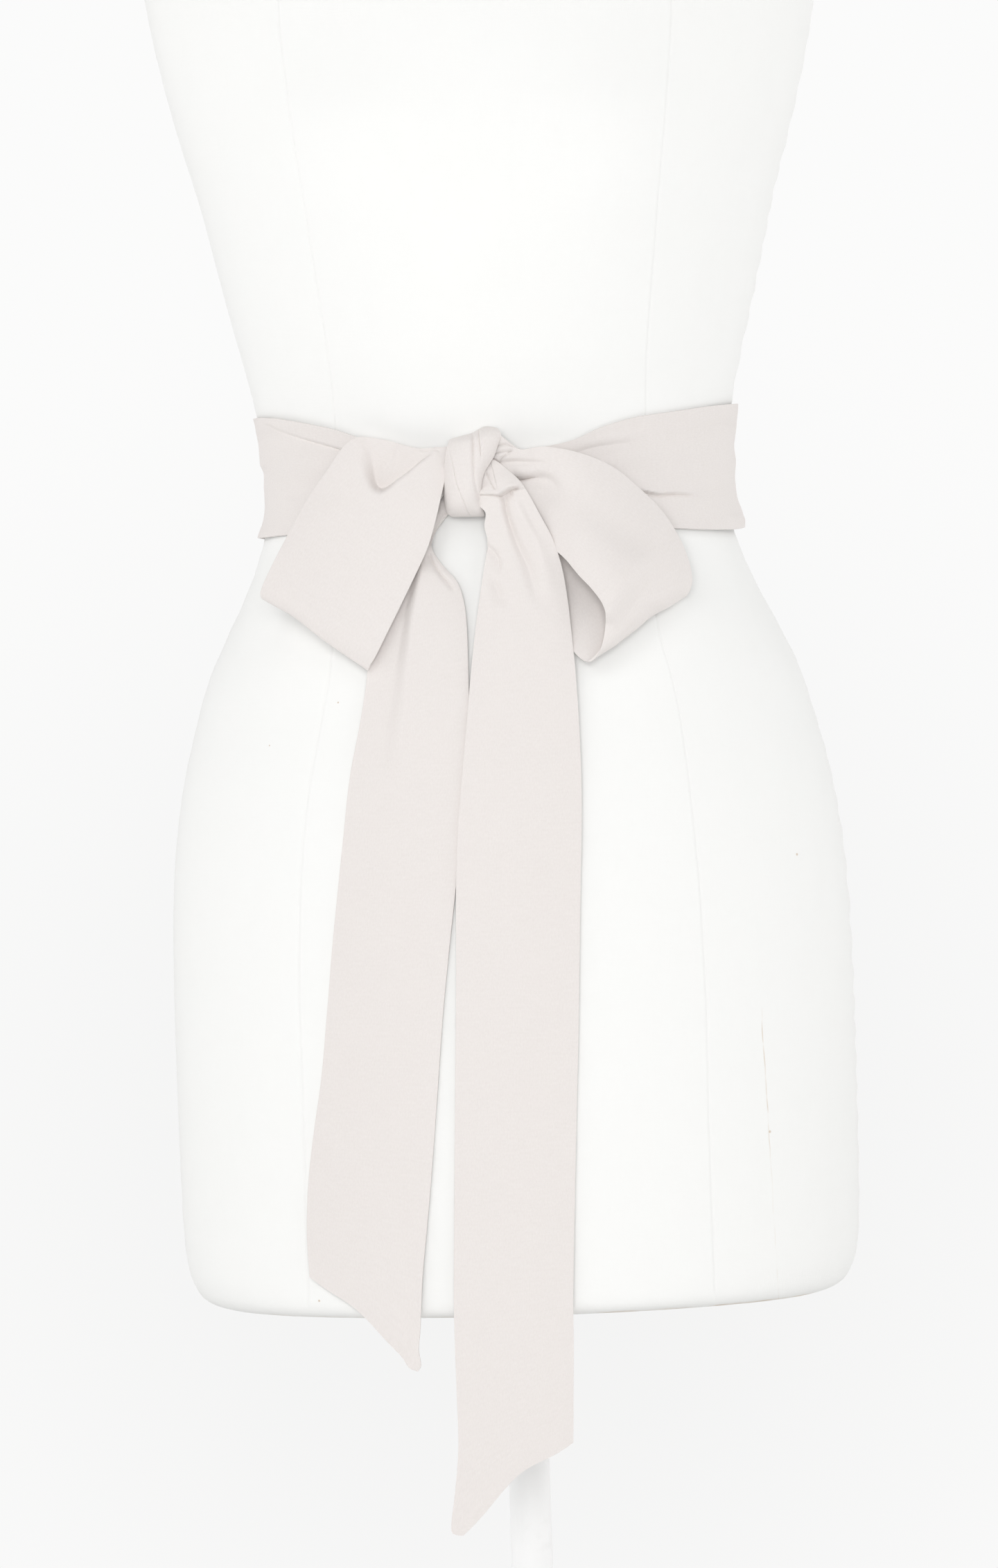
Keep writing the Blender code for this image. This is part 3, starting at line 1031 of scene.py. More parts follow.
@dataclass(frozen=True)
class Studio:
    """Camera, soft lights and a pale floor.

    Attributes:
        aim_x: Where the camera's axis passes the stand's axis, across.
        aim_z: The camera's height.
        distance: How far the camera is from the stand's axis.
        swing: How far it is swung towards +X, in degrees.
        roll: How far it is rolled, in degrees.
        focal_px: The focal length in pixels of the whole frame.
        picture: The frame's width and height in pixels.
        sensor: The camera's sensor width, in millimetres.
        farthest: The farthest that the camera sees.
        sky: The background's brightness straight ahead, and off to all sides of there. Its
        darker middle, behind the form, is painted shade.
        sky_angle: How far off it is at its brightest, in degrees.
        sky_dip: How far under the level the background's middle lies, for each metre ahead.
        sky_tint: The background's colour.
        banks: The wide soft banks of light.
        lamps: The square soft lights.
        lamp_distance: How far the lamps are from the bow.
        bow_height: The height that they face.
        floor_radius: The floor's radius.
        floor_steps: Sides of its rim.
        floor_drop: How far it lies under the base, so that the two don't share a plane.
    """

    aim_x: float = -0.004
    aim_z: float = 0.863
    distance: float = 2.7
    swing: float = 2.5
    roll: float = 1.9
    focal_px: float = 7313.6
    picture: tuple[int, int] = (1440, 2263)
    sensor: float = 36.0
    farthest: float = 50.0
    sky: tuple[float, float] = (0.895, 0.965)
    sky_angle: float = 11.0
    sky_dip: float = 0.075
    sky_tint: Colour = tone(1.0, 1.0, 0.997)
    banks: tuple[Bank, ...] = (
        Bank((1.0, 0.0, 0.0), 0.25, 0.95, 1.22),
        Bank((-1.0, 0.0, 0.0), 0.25, 0.95, 1.06),
        Bank((0.0, 1.0, 0.0), 0.0, 0.8, 0.64),
    )
    lamps: tuple[Lamp, ...] = (
        Lamp("front", 0.0, 4.0, 1.4, 43.0),
        Lamp("key", -25.0, 25.0, 1.4, 15.0),
        Lamp("top", 0.0, 45.0, 1.6, 10.0),
        Lamp("rear", 172.0, 25.0, 1.6, 12.0),
    )
    lamp_distance: float = 3.2
    bow_height: float = 0.95
    floor_radius: float = 1.9
    floor_steps: int = 96
    floor_drop: float = 0.0005

    def camera(self) -> None:
        """Make the camera and set it as the scene's."""
        swing, roll = math.radians(self.swing), math.radians(self.roll)
        back = Vector((math.sin(swing), -math.cos(swing), 0.0))
        level = Vector((math.cos(swing), math.sin(swing), 0.0))
        plumb = Vector((0.0, 0.0, 1.0))
        up = plumb * math.cos(roll) + level * math.sin(roll)
        right = level * math.cos(roll) - plumb * math.sin(roll)
        data = bpy.data.cameras.new("camera")
        data.sensor_fit = "AUTO"
        data.sensor_width = self.sensor
        data.lens = self.focal_px * self.sensor / max(self.picture)
        data.clip_end = self.farthest
        camera = bpy.data.objects.new("camera", data)
        bpy.context.scene.collection.objects.link(camera)
        turn = Matrix((right, up, back)).transposed().to_4x4()
        turn.translation = Vector((self.aim_x, 0.0, self.aim_z)) + back * self.distance
        camera.matrix_world = turn
        bpy.context.scene.camera = camera

    def light(self, lamp: Lamp) -> None:
        """Add a soft light that faces the bow and isn't seen itself.

        Args:
            lamp: Its direction, size and power.
        """
        data = bpy.data.lights.new(lamp.name, "AREA")
        data.size = lamp.size
        data.energy = lamp.power
        turn, rise = math.radians(lamp.turn), math.radians(lamp.rise)
        bow = Vector((0.0, 0.0, self.bow_height))
        across = math.cos(rise)
        way = Vector((math.sin(turn) * across, -math.cos(turn) * across, math.sin(rise)))
        holder = bpy.data.objects.new(lamp.name, data)
        bpy.context.scene.collection.objects.link(holder)
        holder.location = bow + way * self.lamp_distance
        holder.rotation_euler = (-way).to_track_quat("-Z", "Y").to_euler()
        holder.visible_camera = False

    def world(self) -> None:
        """Light everything from soft banks at the sides and behind, before a pale sweep.

        The sweep, which only the camera sees, is painted darker behind the form as shade.
        """
        world = bpy.data.worlds.new("studio")
        world.use_nodes = True
        bpy.context.scene.world = world
        nodes, links = world.node_tree.nodes, world.node_tree.links
        way = nodes.new("ShaderNodeTexCoord").outputs["Generated"]
        swing = math.radians(self.swing)

        def share_of(axis: Vector, operation: str, low: float, high: float) -> bpy.types.Node:
            """A smooth range of how far each direction is along an axis.

            Args:
                axis: The axis.
                operation: What is done with the cosine of the angle to it.
                low: The result where the range starts.
                high: The result where it ends.

            Returns:
                The node, whose two ends are still to be set.
            """
            along = nodes.new("ShaderNodeVectorMath")
            along.operation = "DOT_PRODUCT"
            links.new(way, along.inputs[0])
            along.inputs[1].default_value = axis.normalized()
            shaped = nodes.new("ShaderNodeMath")
            shaped.operation = operation
            shaped.inputs[1].default_value = 0.0
            links.new(along.outputs["Value"], shaped.inputs[0])
            ramp = nodes.new("ShaderNodeMapRange")
            ramp.interpolation_type = "SMOOTHSTEP"
            links.new(shaped.outputs[0], ramp.inputs["Value"])
            ramp.inputs["From Min"].default_value = low
            ramp.inputs["From Max"].default_value = high
            return ramp

        # Painted shade: the sweep the camera sees is darkest straight ahead, behind the form.
        ahead = Vector((-math.sin(swing), math.cos(swing), -self.sky_dip))
        sweep = share_of(ahead, "ARCCOSINE", 0.0, math.radians(self.sky_angle))
        sweep.inputs["To Min"].default_value = self.sky[0]
        sweep.inputs["To Max"].default_value = self.sky[1]
        room = None
        for bank in self.banks:
            lit = share_of(Vector(bank.way), "ADD", bank.low, bank.high)
            lit.inputs["To Min"].default_value = 0.0
            lit.inputs["To Max"].default_value = bank.glow
            if room is None:
                room = lit.outputs[0]
                continue
            both = nodes.new("ShaderNodeMath")
            both.operation = "ADD"
            links.new(room, both.inputs[0])
            links.new(lit.outputs[0], both.inputs[1])
            room = both.outputs[0]
        pick = nodes.new("ShaderNodeMix")
        seen = nodes.new("ShaderNodeLightPath").outputs["Is Camera Ray"]
        links.new(seen, pick.inputs["Factor"])
        links.new(room, pick.inputs["A"])
        links.new(sweep.outputs[0], pick.inputs["B"])
        background = nodes["Background"]
        background.inputs["Color"].default_value = self.sky_tint
        links.new(pick.outputs[0], background.inputs["Strength"])

    def floor(self) -> None:
        """Lay the floor."""
        bm = bmesh.new()
        bmesh.ops.create_circle(
            bm, cap_ends=True, segments=self.floor_steps, radius=self.floor_radius
        )
        bmesh.ops.translate(bm, verts=bm.verts, vec=(0.0, 0.0, -self.floor_drop))
        mesh = bpy.data.meshes.new("floor")
        bm.to_mesh(mesh)
        bm.free()
        mesh.materials.append(FloorFinish().build())
        floor = bpy.data.objects.new("floor", mesh)
        bpy.context.scene.collection.objects.link(floor)

    def build(self) -> None:
        """Set up the whole studio."""
        self.camera()
        self.world()
        for lamp in self.lamps:
            self.light(lamp)
        self.floor()
        bpy.context.scene.view_settings.view_transform = "Standard"


# ------------------------------------------------------------------ dress form and stand


ON_SEAM = 1e-9  # a distance on the seam line itself, because 0 means that none is fixed


@dataclass(frozen=True)
class DressForm:
    """The limbless form: one smooth skin with sewn seams.

    Attributes:
        panel_steps: Columns of faces in each panel, once round from the middle of the back.
        row_heights: Numbers of rows and their heights, closer where the outline turns fast.
        left_seam: The front princess seam on the viewer's left.
        right_seam: The one on the right.
        widest_seam: The sine of the largest angle that these may reach.
        back_seam_angle: The angle of both back princess seams, in degrees.
        seam_depth: How deep the skin is sewn in.
        seam_edge: How far from the seam line the skin is nearly out again.
        seam_edge_share: How much of the depth is left there.
        seam_margin: How far from the seam line the panel's even columns start.
        seam_bottom: The height where the seams start.
        seam_top: The height where they end.
        seam_fade: How far they take to start and end.
        pucker: The height of the puckers.
        pucker_sides: The angle of each side seam, and how strongly it puckers.
        pucker_reach: How far from the seam they spread, in radians.
        pucker_wave: The usual distance between them.
        pucker_bottom: The height where they start.
        pucker_top: The height where they end.
        pucker_fades: How far they take to start and to end.
        merge: How close points have to be to become one.
    """

    panel_steps: tuple[int, ...] = (20, 26, 22, 48, 22, 26, 20)
    row_heights: tuple[tuple[int, float], ...] = (
        (0, 589.5), (1, 590.2), (2, 591.2), (4, 593), (6, 597), (9, 603), (13, 612), (18, 630),
        (36, 700), (108, 1000), (170, 1300), (190, 1380), (206, 1420), (220, 1450), (233, 1500),
        (235, 1503.5), (236, 1505),
    )
    left_seam: tuple[Seam, ...] = (
        Seam(588, 107.6), Seam(682, 106.9), Seam(745, 107), Seam(796, 105.3), Seam(850, 100.2),
        Seam(890, 92.5), Seam(930, 84.3), Seam(975, 79.5), Seam(1055, 80.1), Seam(1144, 88.2),
        Seam(1223, 97.4), Seam(1265, 101), Seam(1330, 98), Seam(1400, 84), Seam(1505, 70),
    )
    right_seam: tuple[Seam, ...] = (
        Seam(588, 102.4), Seam(685, 102.3), Seam(739, 102.9), Seam(797, 101.9), Seam(844, 99.2),
        Seam(894, 94.5), Seam(919, 89.9), Seam(941, 84.2), Seam(980, 80.5), Seam(1060, 81.9),
        Seam(1144, 90), Seam(1223, 99), Seam(1265, 102), Seam(1330, 98), Seam(1400, 84),
        Seam(1505, 70),
    )
    widest_seam: float = 0.92
    back_seam_angle: float = 140.0
    seam_depth: float = 0.42
    seam_edge: float = 0.55
    seam_edge_share: float = 0.12
    seam_margin: float = 1.5
    seam_bottom: float = 592.0
    seam_top: float = 1406.0
    seam_fade: float = 10.0
    pucker: float = 0.55
    pucker_sides: tuple[tuple[float, float], ...] = ((0.5 * math.pi, 1.0), (-0.5 * math.pi, 0.35))
    pucker_reach: float = 0.10
    pucker_wave: float = 17.0
    pucker_bottom: float = 600.0
    pucker_top: float = 1370.0
    pucker_fades: tuple[float, float] = (25.0, 30.0)
    merge: float = 0.02

    @property
    def rows(self) -> int:
        """How many rows of faces the skin has."""
        return self.row_heights[-1][0]

    def seam_angles(self, z: np.ndarray) -> np.ndarray:
        """The angles of the seam lines, from the middle of the back round to it again.

        Args:
            z: Heights.

        Returns:
            A row of eight angles for each height, in radians.
        """
        half = SHAPE.section(z)[0]
        fronts = []
        for seam in (self.left_seam, self.right_seam):
            table = np.array(seam)
            x = through_levels(table[:, 0], table[:, 1], z)
            fronts.append(np.arcsin(np.clip(x / half, 0.0, self.widest_seam)))
        left, right = fronts
        back = np.full_like(z, math.radians(self.back_seam_angle))
        side, middle = np.full_like(z, 0.5 * math.pi), np.full_like(z, math.pi)
        return np.stack([-middle, -back, -side, -left, right, side, back, middle], axis=1)

    def columns(self) -> list[tuple[int, float, float, float]]:
        """Each column's panel, share across it, fixed distance and seam depth.

        Returns:
            The panel's number, the share between its margins, the distance from its left
            seam (or, where negative, from its right one), and how deep the skin is sewn in.
        """
        found = []
        edge_depth = self.seam_edge_share * self.seam_depth
        for panel, steps in enumerate(self.panel_steps):
            found.append((panel, 0.0, ON_SEAM, self.seam_depth))
            found.append((panel, 0.0, self.seam_edge, edge_depth))
            for step in range(2, steps - 1):
                found.append((panel, (step - 2) / (steps - 4), 0.0, 0.0))
            found.append((panel, 0.0, -self.seam_edge, edge_depth))
        found.append((len(self.panel_steps) - 1, 0.0, -ON_SEAM, self.seam_depth))
        return found

    def build(self, finish: bpy.types.Material) -> bpy.types.Object:
        """Make the form's skin.

        Args:
            finish: Its painted canvas.

        Returns:
            The piece.
        """
        columns = np.array(self.columns())
        count = len(columns) - 1
        bm, around, up = lay_grid((count, self.rows))
        column = np.rint(around * count).astype(int)
        panel, share, fixed, depth = columns[column].T
        panel = panel.astype(int)
        z = self.heights()[np.rint(up * self.rows).astype(int)]
        half, front, back = SHAPE.section(z)
        angles = self.seam_angles(z)
        picked = np.arange(len(z))
        left, right = angles[picked, panel], angles[picked, panel + 1]
        reach = [self.reach(seam, half, front, back) for seam in (left, right)]
        margin_left, margin_right = self.seam_margin / reach[0], self.seam_margin / reach[1]
        angle = left + margin_left + (right - left - margin_left - margin_right) * share
        angle = np.where(fixed > 0.0, left + fixed / reach[0], angle)
        angle = np.where(fixed < 0.0, right + fixed / reach[1], angle)
        fade = smooth_step((self.seam_top - z) / self.seam_fade)
        fade *= smooth_step((z - self.seam_bottom) / self.seam_fade)
        out = -depth * fade + self.puckers(angle, z)
        place_verts(bm, SHAPE.wrap(angle, z, out))
        bmesh.ops.remove_doubles(bm, verts=bm.verts, dist=self.merge * MM)
        rims = [edge for edge in bm.edges if edge.is_boundary]
        bmesh.ops.holes_fill(bm, edges=rims, sides=0)
        bmesh.ops.recalc_face_normals(bm, faces=bm.faces)
        piece = make_piece("form_skin", bm, finish)
        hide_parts("form_torso")
        return piece

    def heights(self) -> np.ndarray:
        """The height of every row."""
        rows, heights = np.array(self.row_heights).T
        return np.interp(np.arange(self.rows + 1), rows, heights)

    @staticmethod
    def reach(
        angle: np.ndarray, half: np.ndarray, front: np.ndarray, back: np.ndarray
    ) -> np.ndarray:
        """How far along the skin a radian takes one at an angle, in millimetres."""
        depth = np.where(np.cos(angle) > 0.0, front, back)
        return np.hypot(half * np.cos(angle), depth * np.sin(angle))

    def puckers(self, angle: np.ndarray, z: np.ndarray) -> np.ndarray:
        """The small puckers along the side seams, more on the right one.

        Args:
            angle: Angles from the front, in radians.
            z: Heights.

        Returns:
            How far they move the skin out.
        """
        rises = np.zeros_like(z)
        for side, strength in self.pucker_sides:
            near = np.exp(-(((angle - side) / self.pucker_reach) ** 2))
            # Their spacing and their height both wander, so that no two are alike.
            turned = 2.0 * math.pi * z / self.pucker_wave + 1.6 * np.sin(z / 23.0)
            wave = np.sin(turned + 2.0 * side)
            uneven = 0.55 + 0.45 * np.sin(z / 61.0 + side)
            rises += strength * self.pucker * near * wave * uneven
        rises *= smooth_step((z - self.pucker_bottom) / self.pucker_fades[0])
        return rises * smooth_step((self.pucker_top - z) / self.pucker_fades[1])


@dataclass(frozen=True)
class Stand:
    """The pole and the turned base under the form.

    Attributes:
        outline: The base's profile by radius and height, from the axis on top, over the rim,
            to the axis underneath.
        curved: The numbers of its points between which it is a smooth curve.
        curve_points: How many points that curve gets.
        pole_radius: The pole's radius.
        pole_bottom: The height of its lower end.
        pole_top: The height of its upper end.
        round_steps: Sides of the round base. The pole has half as many.
        edge: How far the pole's ends are rounded.
        edge_segments: Faces across that rounding.
        sharp_turn: Edges that turn by more than this, in radians, are rounded.
        merge: How close points have to be to become one.
    """

    outline: tuple[tuple[float, float], ...] = (
        (0.0, 34.0), (20.0, 34.0), (26.0, 31.0), (36.0, 22.0), (62.0, 16.5), (120.0, 13.5),
        (168.0, 11.5), (177.0, 9.0), (180.0, 4.5), (178.5, 0.0), (0.0, 0.0),
    )
    curved: tuple[float, float] = (1.0, 9.0)
    curve_points: int = 49
    pole_radius: float = 11.0
    pole_bottom: float = 34.3
    pole_top: float = 589.2
    round_steps: int = 128
    edge: float = 0.6
    edge_segments: int = 2
    sharp_turn: float = 1.0
    merge: float = 0.005

    def base(self, finish: bpy.types.Material) -> bpy.types.Object:
        """Turn the base from its outline.

        Args:
            finish: Its enamel.

        Returns:
            The piece.
        """
        bm = bmesh.new()
        table = np.array(self.outline)
        rows = np.linspace(*self.curved, self.curve_points)
        curve = np.vstack([table[:1], through_rows(table[:-1], rows), table[-1:]])
        verts = [bm.verts.new((radius * MM, 0.0, z * MM)) for radius, z in curve]
        edges = [bm.edges.new(pair) for pair in zip(verts, verts[1:])]
        bmesh.ops.spin(
            bm,
            geom=verts + edges,
            cent=(0.0, 0.0, 0.0),
            axis=(0.0, 0.0, 1.0),
            angle=2.0 * math.pi,
            steps=self.round_steps,
            use_merge=True,
        )
        bmesh.ops.remove_doubles(bm, verts=bm.verts, dist=self.merge * MM)
        bmesh.ops.recalc_face_normals(bm, faces=bm.faces)
        piece = make_piece("stand_base", bm, finish)
        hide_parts("form_base")
        return piece

    def pole(self, finish: bpy.types.Material) -> bpy.types.Object:
        """Make the round pole.

        Args:
            finish: Its enamel.

        Returns:
            The piece.
        """
        bm = bmesh.new()
        bmesh.ops.create_circle(
            bm, cap_ends=True, segments=self.round_steps // 2, radius=self.pole_radius * MM
        )
        bmesh.ops.translate(bm, verts=bm.verts, vec=(0.0, 0.0, self.pole_bottom * MM))
        grown = bmesh.ops.extrude_face_region(bm, geom=bm.faces[:])
        tops = [item for item in grown["geom"] if isinstance(item, bmesh.types.BMVert)]
        rise = (self.pole_top - self.pole_bottom) * MM
        bmesh.ops.translate(bm, verts=tops, vec=(0.0, 0.0, rise))
        joined = [edge for edge in bm.edges if len(edge.link_faces) == 2]
        rims = [edge for edge in joined if edge.calc_face_angle() > self.sharp_turn]
        bmesh.ops.bevel(
            bm,
            geom=rims,
            offset=self.edge * MM,
            segments=self.edge_segments,
            profile=0.5,
            material=-1,
            affect="EDGES",
        )
        bmesh.ops.recalc_face_normals(bm, faces=bm.faces)
        piece = make_piece("stand_pole", bm, finish)
        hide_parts("form_pole")
        return piece

    def build(self, finish: bpy.types.Material) -> list[bpy.types.Object]:
        """Make the pole and the base."""
        return [self.base(finish), self.pole(finish)]


# ------------------------------------------------------------------ the sash


class Hold(Enum):
    """How a stretch of the sash is held."""

    DRAPED = "draped"
    HUNG = "hung"
    GATHERED = "gathered"


class Station(NamedTuple):
    """A station of a ribbon: edges A and B by x, height and clearance, and its belly."""

    ax: float
    az: float
    a_out: float
    bx: float
    bz: float
    b_out: float
    belly: float


class Bend(NamedTuple):
    """A station of the waist wrap at an angle from the front: its edges and clearances."""

    angle: float
    bottom: float
    top: float
    out_bottom: float
    out_middle: float
    out_top: float


@dataclass(frozen=True)
class Stretch:
    """What every stretch of the sash has.

    Attributes:
        name: The piece's name.
        node: The node that it stands for.
        steps: Faces along and across.
        flat: The width and length that it was cut to, in metres.
        held: How it is held. It is not used.
        rests_on: What it lies on or hangs from. It is not used.
        pacing: Share of the steps against row number, closer where creases crowd.
        creases: Its creases.
        pushes: Small shifts of its outline.
        ripple: The height of its general unevenness.
        ripple_wave: The usual wavelength of that.
        seed: Tells its unevenness from the others'.
        thickness: The thickness of the folded double cloth.
        middle_points: How many points its length is measured through.
        edge_angle: Edges that turn by more than this, in degrees, are rounded.
        edge_share: How far they are rounded, as a share of the thickness.
        edge_segments: Faces across that rounding.
    """

    name: str
    node: str
    steps: tuple[int, int]
    flat: tuple[float, float]
    held: Hold
    rests_on: tuple[str, ...]
    pacing: tuple[tuple[float, float], ...]
    creases: tuple[Crease, ...] = ()
    pushes: tuple[Push, ...] = ()
    ripple: float = 0.15
    ripple_wave: float = 34.0
    seed: float = 0.0
    thickness: float = 1.1
    middle_points: int = 400
    edge_angle: float = 60.0
    edge_share: float = 0.42
    edge_segments: int = 2

    def surface(self, row: np.ndarray, across: np.ndarray) -> np.ndarray:
        """Points of the cloth's middle surface, in metres, which each kind of stretch gives."""
        raise NotImplementedError

    def rises(self, x: np.ndarray, z: np.ndarray, row: np.ndarray) -> np.ndarray:
        """What the creases and the unevenness add to the clearance.

        Args:
            x: Places across.
            z: Heights.
            row: Row numbers of the stations.

        Returns:
            Rises, negative inwards.
        """
        total = self.ripple * soft_noise(x, z, self.ripple_wave, self.seed)
        for crease in self.creases:
            total = total + crease.rise(x, z, row)
        return total

    def pushed(self, x: np.ndarray, z: np.ndarray) -> tuple[np.ndarray, np.ndarray]:
        """Move points by the pushes.

        Args:
            x: Places across.
            z: Heights.

        Returns:
            The new places across and heights.
        """
        shift_x, shift_z = np.zeros_like(x), np.zeros_like(z)
        for push in self.pushes:
            away = ((x - push.x) ** 2 + (z - push.z) ** 2) / push.spread**2
            shift_x += push.shift_x * np.exp(-away)
            shift_z += push.shift_z * np.exp(-away)
        return x + shift_x, z + shift_z

    def build(self, finish: bpy.types.Material) -> bpy.types.Object:
        """Make the stretch of cloth.

        Args:
            finish: Its crepe.

        Returns:
            The piece.
        """
        bm, along, across = lay_grid(self.steps)
        shares, rows = np.array(self.pacing).T
        row = np.interp(along, shares, rows)
        place_verts(bm, self.surface(row, across))
        piece = make_piece(self.name, bm, finish)
        ticks = np.linspace(rows[0], rows[-1], self.middle_points)
        middle = self.surface(ticks, np.full_like(ticks, 0.5))
        lengths = np.linalg.norm(np.diff(middle, axis=0), axis=1)
        walked = np.concatenate([[0.0], np.cumsum(lengths)])
        set_uv(piece, np.interp(row, ticks, walked), across * self.flat[0])
        wall = piece.modifiers.new("double_cloth", "SOLIDIFY")
        wall.thickness = self.thickness * MM
        wall.offset = 0.0
        wall.use_even_offset = False
        rim = piece.modifiers.new("pressed_edge", "BEVEL")
        rim.limit_method = "ANGLE"
        rim.angle_limit = math.radians(self.edge_angle)
        rim.width = self.edge_share * self.thickness * MM
        rim.segments = self.edge_segments
        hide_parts(self.node)
        return piece


@dataclass(frozen=True)
class Ribbon(Stretch):
    """A stretch laid through a table of stations in front of the form.

    Attributes:
        stations: The table.
        folds: Its broad soft folds.
        belly_power: How flat its belly is in the middle of its width.
        fold_fade_in: The share of a fold's length over which it starts.
        fold_fade_out: The share over which it ends.
    """

    stations: tuple[Station, ...] = ()
    folds: tuple[Fold, ...] = ()
    belly_power: float = 3.0
    fold_fade_in: float = 0.2
    fold_fade_out: float = 0.45

    def fold_depth(self, row: np.ndarray, across: np.ndarray) -> np.ndarray:
        """Sum of the broad folds' depths.

        Args:
            row: Row numbers of the stations.
            across: Shares of the width from edge A.

        Returns:
            Depths, positive inwards.
        """
        total = np.zeros_like(row)
        for fold in self.folds:
            share = (row - fold.start) / (fold.end - fold.start)
            centre = fold.start_across + (fold.end_across - fold.start_across) * share
            ends = smooth_step(share / self.fold_fade_in)
            ends *= smooth_step((1.0 - share) / self.fold_fade_out)
            total += fold.depth * ends * np.exp(-(((across - centre) / fold.spread) ** 2))
        return total

    def surface(self, row: np.ndarray, across: np.ndarray) -> np.ndarray:
        """Points of the cloth's middle surface.

        Args:
            row: Row numbers of the stations.
            across: Shares of the width from edge A.

        Returns:
            Points in metres, one row each.
        """
        columns = through_rows(np.array(self.stations, float), row).T
        ax, az, a_out, bx, bz, b_out, belly = columns
        x = ax + (bx - ax) * across
        z = az + (bz - az) * across
        out = a_out + (b_out - a_out) * across
        out += belly * (1.0 - np.abs(2.0 * across - 1.0) ** self.belly_power)
        out -= self.fold_depth(row, across)
        out += self.rises(x, z, row)
        x, z = self.pushed(x, z)
        return SHAPE.drape(x, z, out)


@dataclass(frozen=True)
class WaistWrap(Stretch):
    """The stretch once round the waist.

    Attributes:
        bends: Its stations, once round.
        back_creases: Its creases at the back, drawn by x and z as seen through the form.
        arc: About how far round the waist a degree is.
        wave_rise: The height of the slanting waves at its sides.
        side_ease: How quickly the front's creases give way to the back's at the sides.
        least_out: The least clearance.
    """

    bends: tuple[Bend, ...] = ()
    back_creases: tuple[Crease, ...] = ()
    arc: float = 2.0
    wave_rise: float = 0.36
    side_ease: float = 5.0
    least_out: float = 0.9

    def surface(self, row: np.ndarray, across: np.ndarray) -> np.ndarray:
        """Points of the cloth's middle surface.

        Args:
            row: Row numbers of the bends.
            across: Shares of the width from the lower edge.

        Returns:
            Points in metres, one row each.
        """
        columns = through_rows(np.array(self.bends, float), row).T
        degrees, bottom, top, out_bottom, out_middle, out_top = columns
        angle = np.radians(degrees)
        z = bottom + (top - bottom) * across
        out = out_bottom + (out_top - out_bottom) * across
        out += (out_middle - 0.5 * (out_bottom + out_top)) * np.sin(math.pi * across)
        x = SHAPE.section(z)[0] * np.sin(angle)
        front = smooth_step(0.5 + self.side_ease * np.cos(angle))
        out += self.rises(x, z, row) * front
        for crease in self.back_creases:
            out += crease.rise(x, z, row) * (1.0 - front)
        # Two trains of waves slant opposite ways, full at the sides, gone at front and back.
        walked = degrees * self.arc
        waves = np.sin(across * 17.0 + walked / 41.0)
        waves = waves + 0.6 * np.sin(across * 29.0 - walked / 23.0)
        out += self.wave_rise * waves * np.abs(np.sin(angle)) ** 2
        return SHAPE.wrap(angle, z, np.maximum(out, self.least_out))


TROUGH, LAP = CreaseKind.TROUGH, CreaseKind.LAP
FRONT = (0.0, 9.6)  # the rows of a loop's front layer
FULL_WIDTH = 0.0635  # metres across the folded and pressed strip


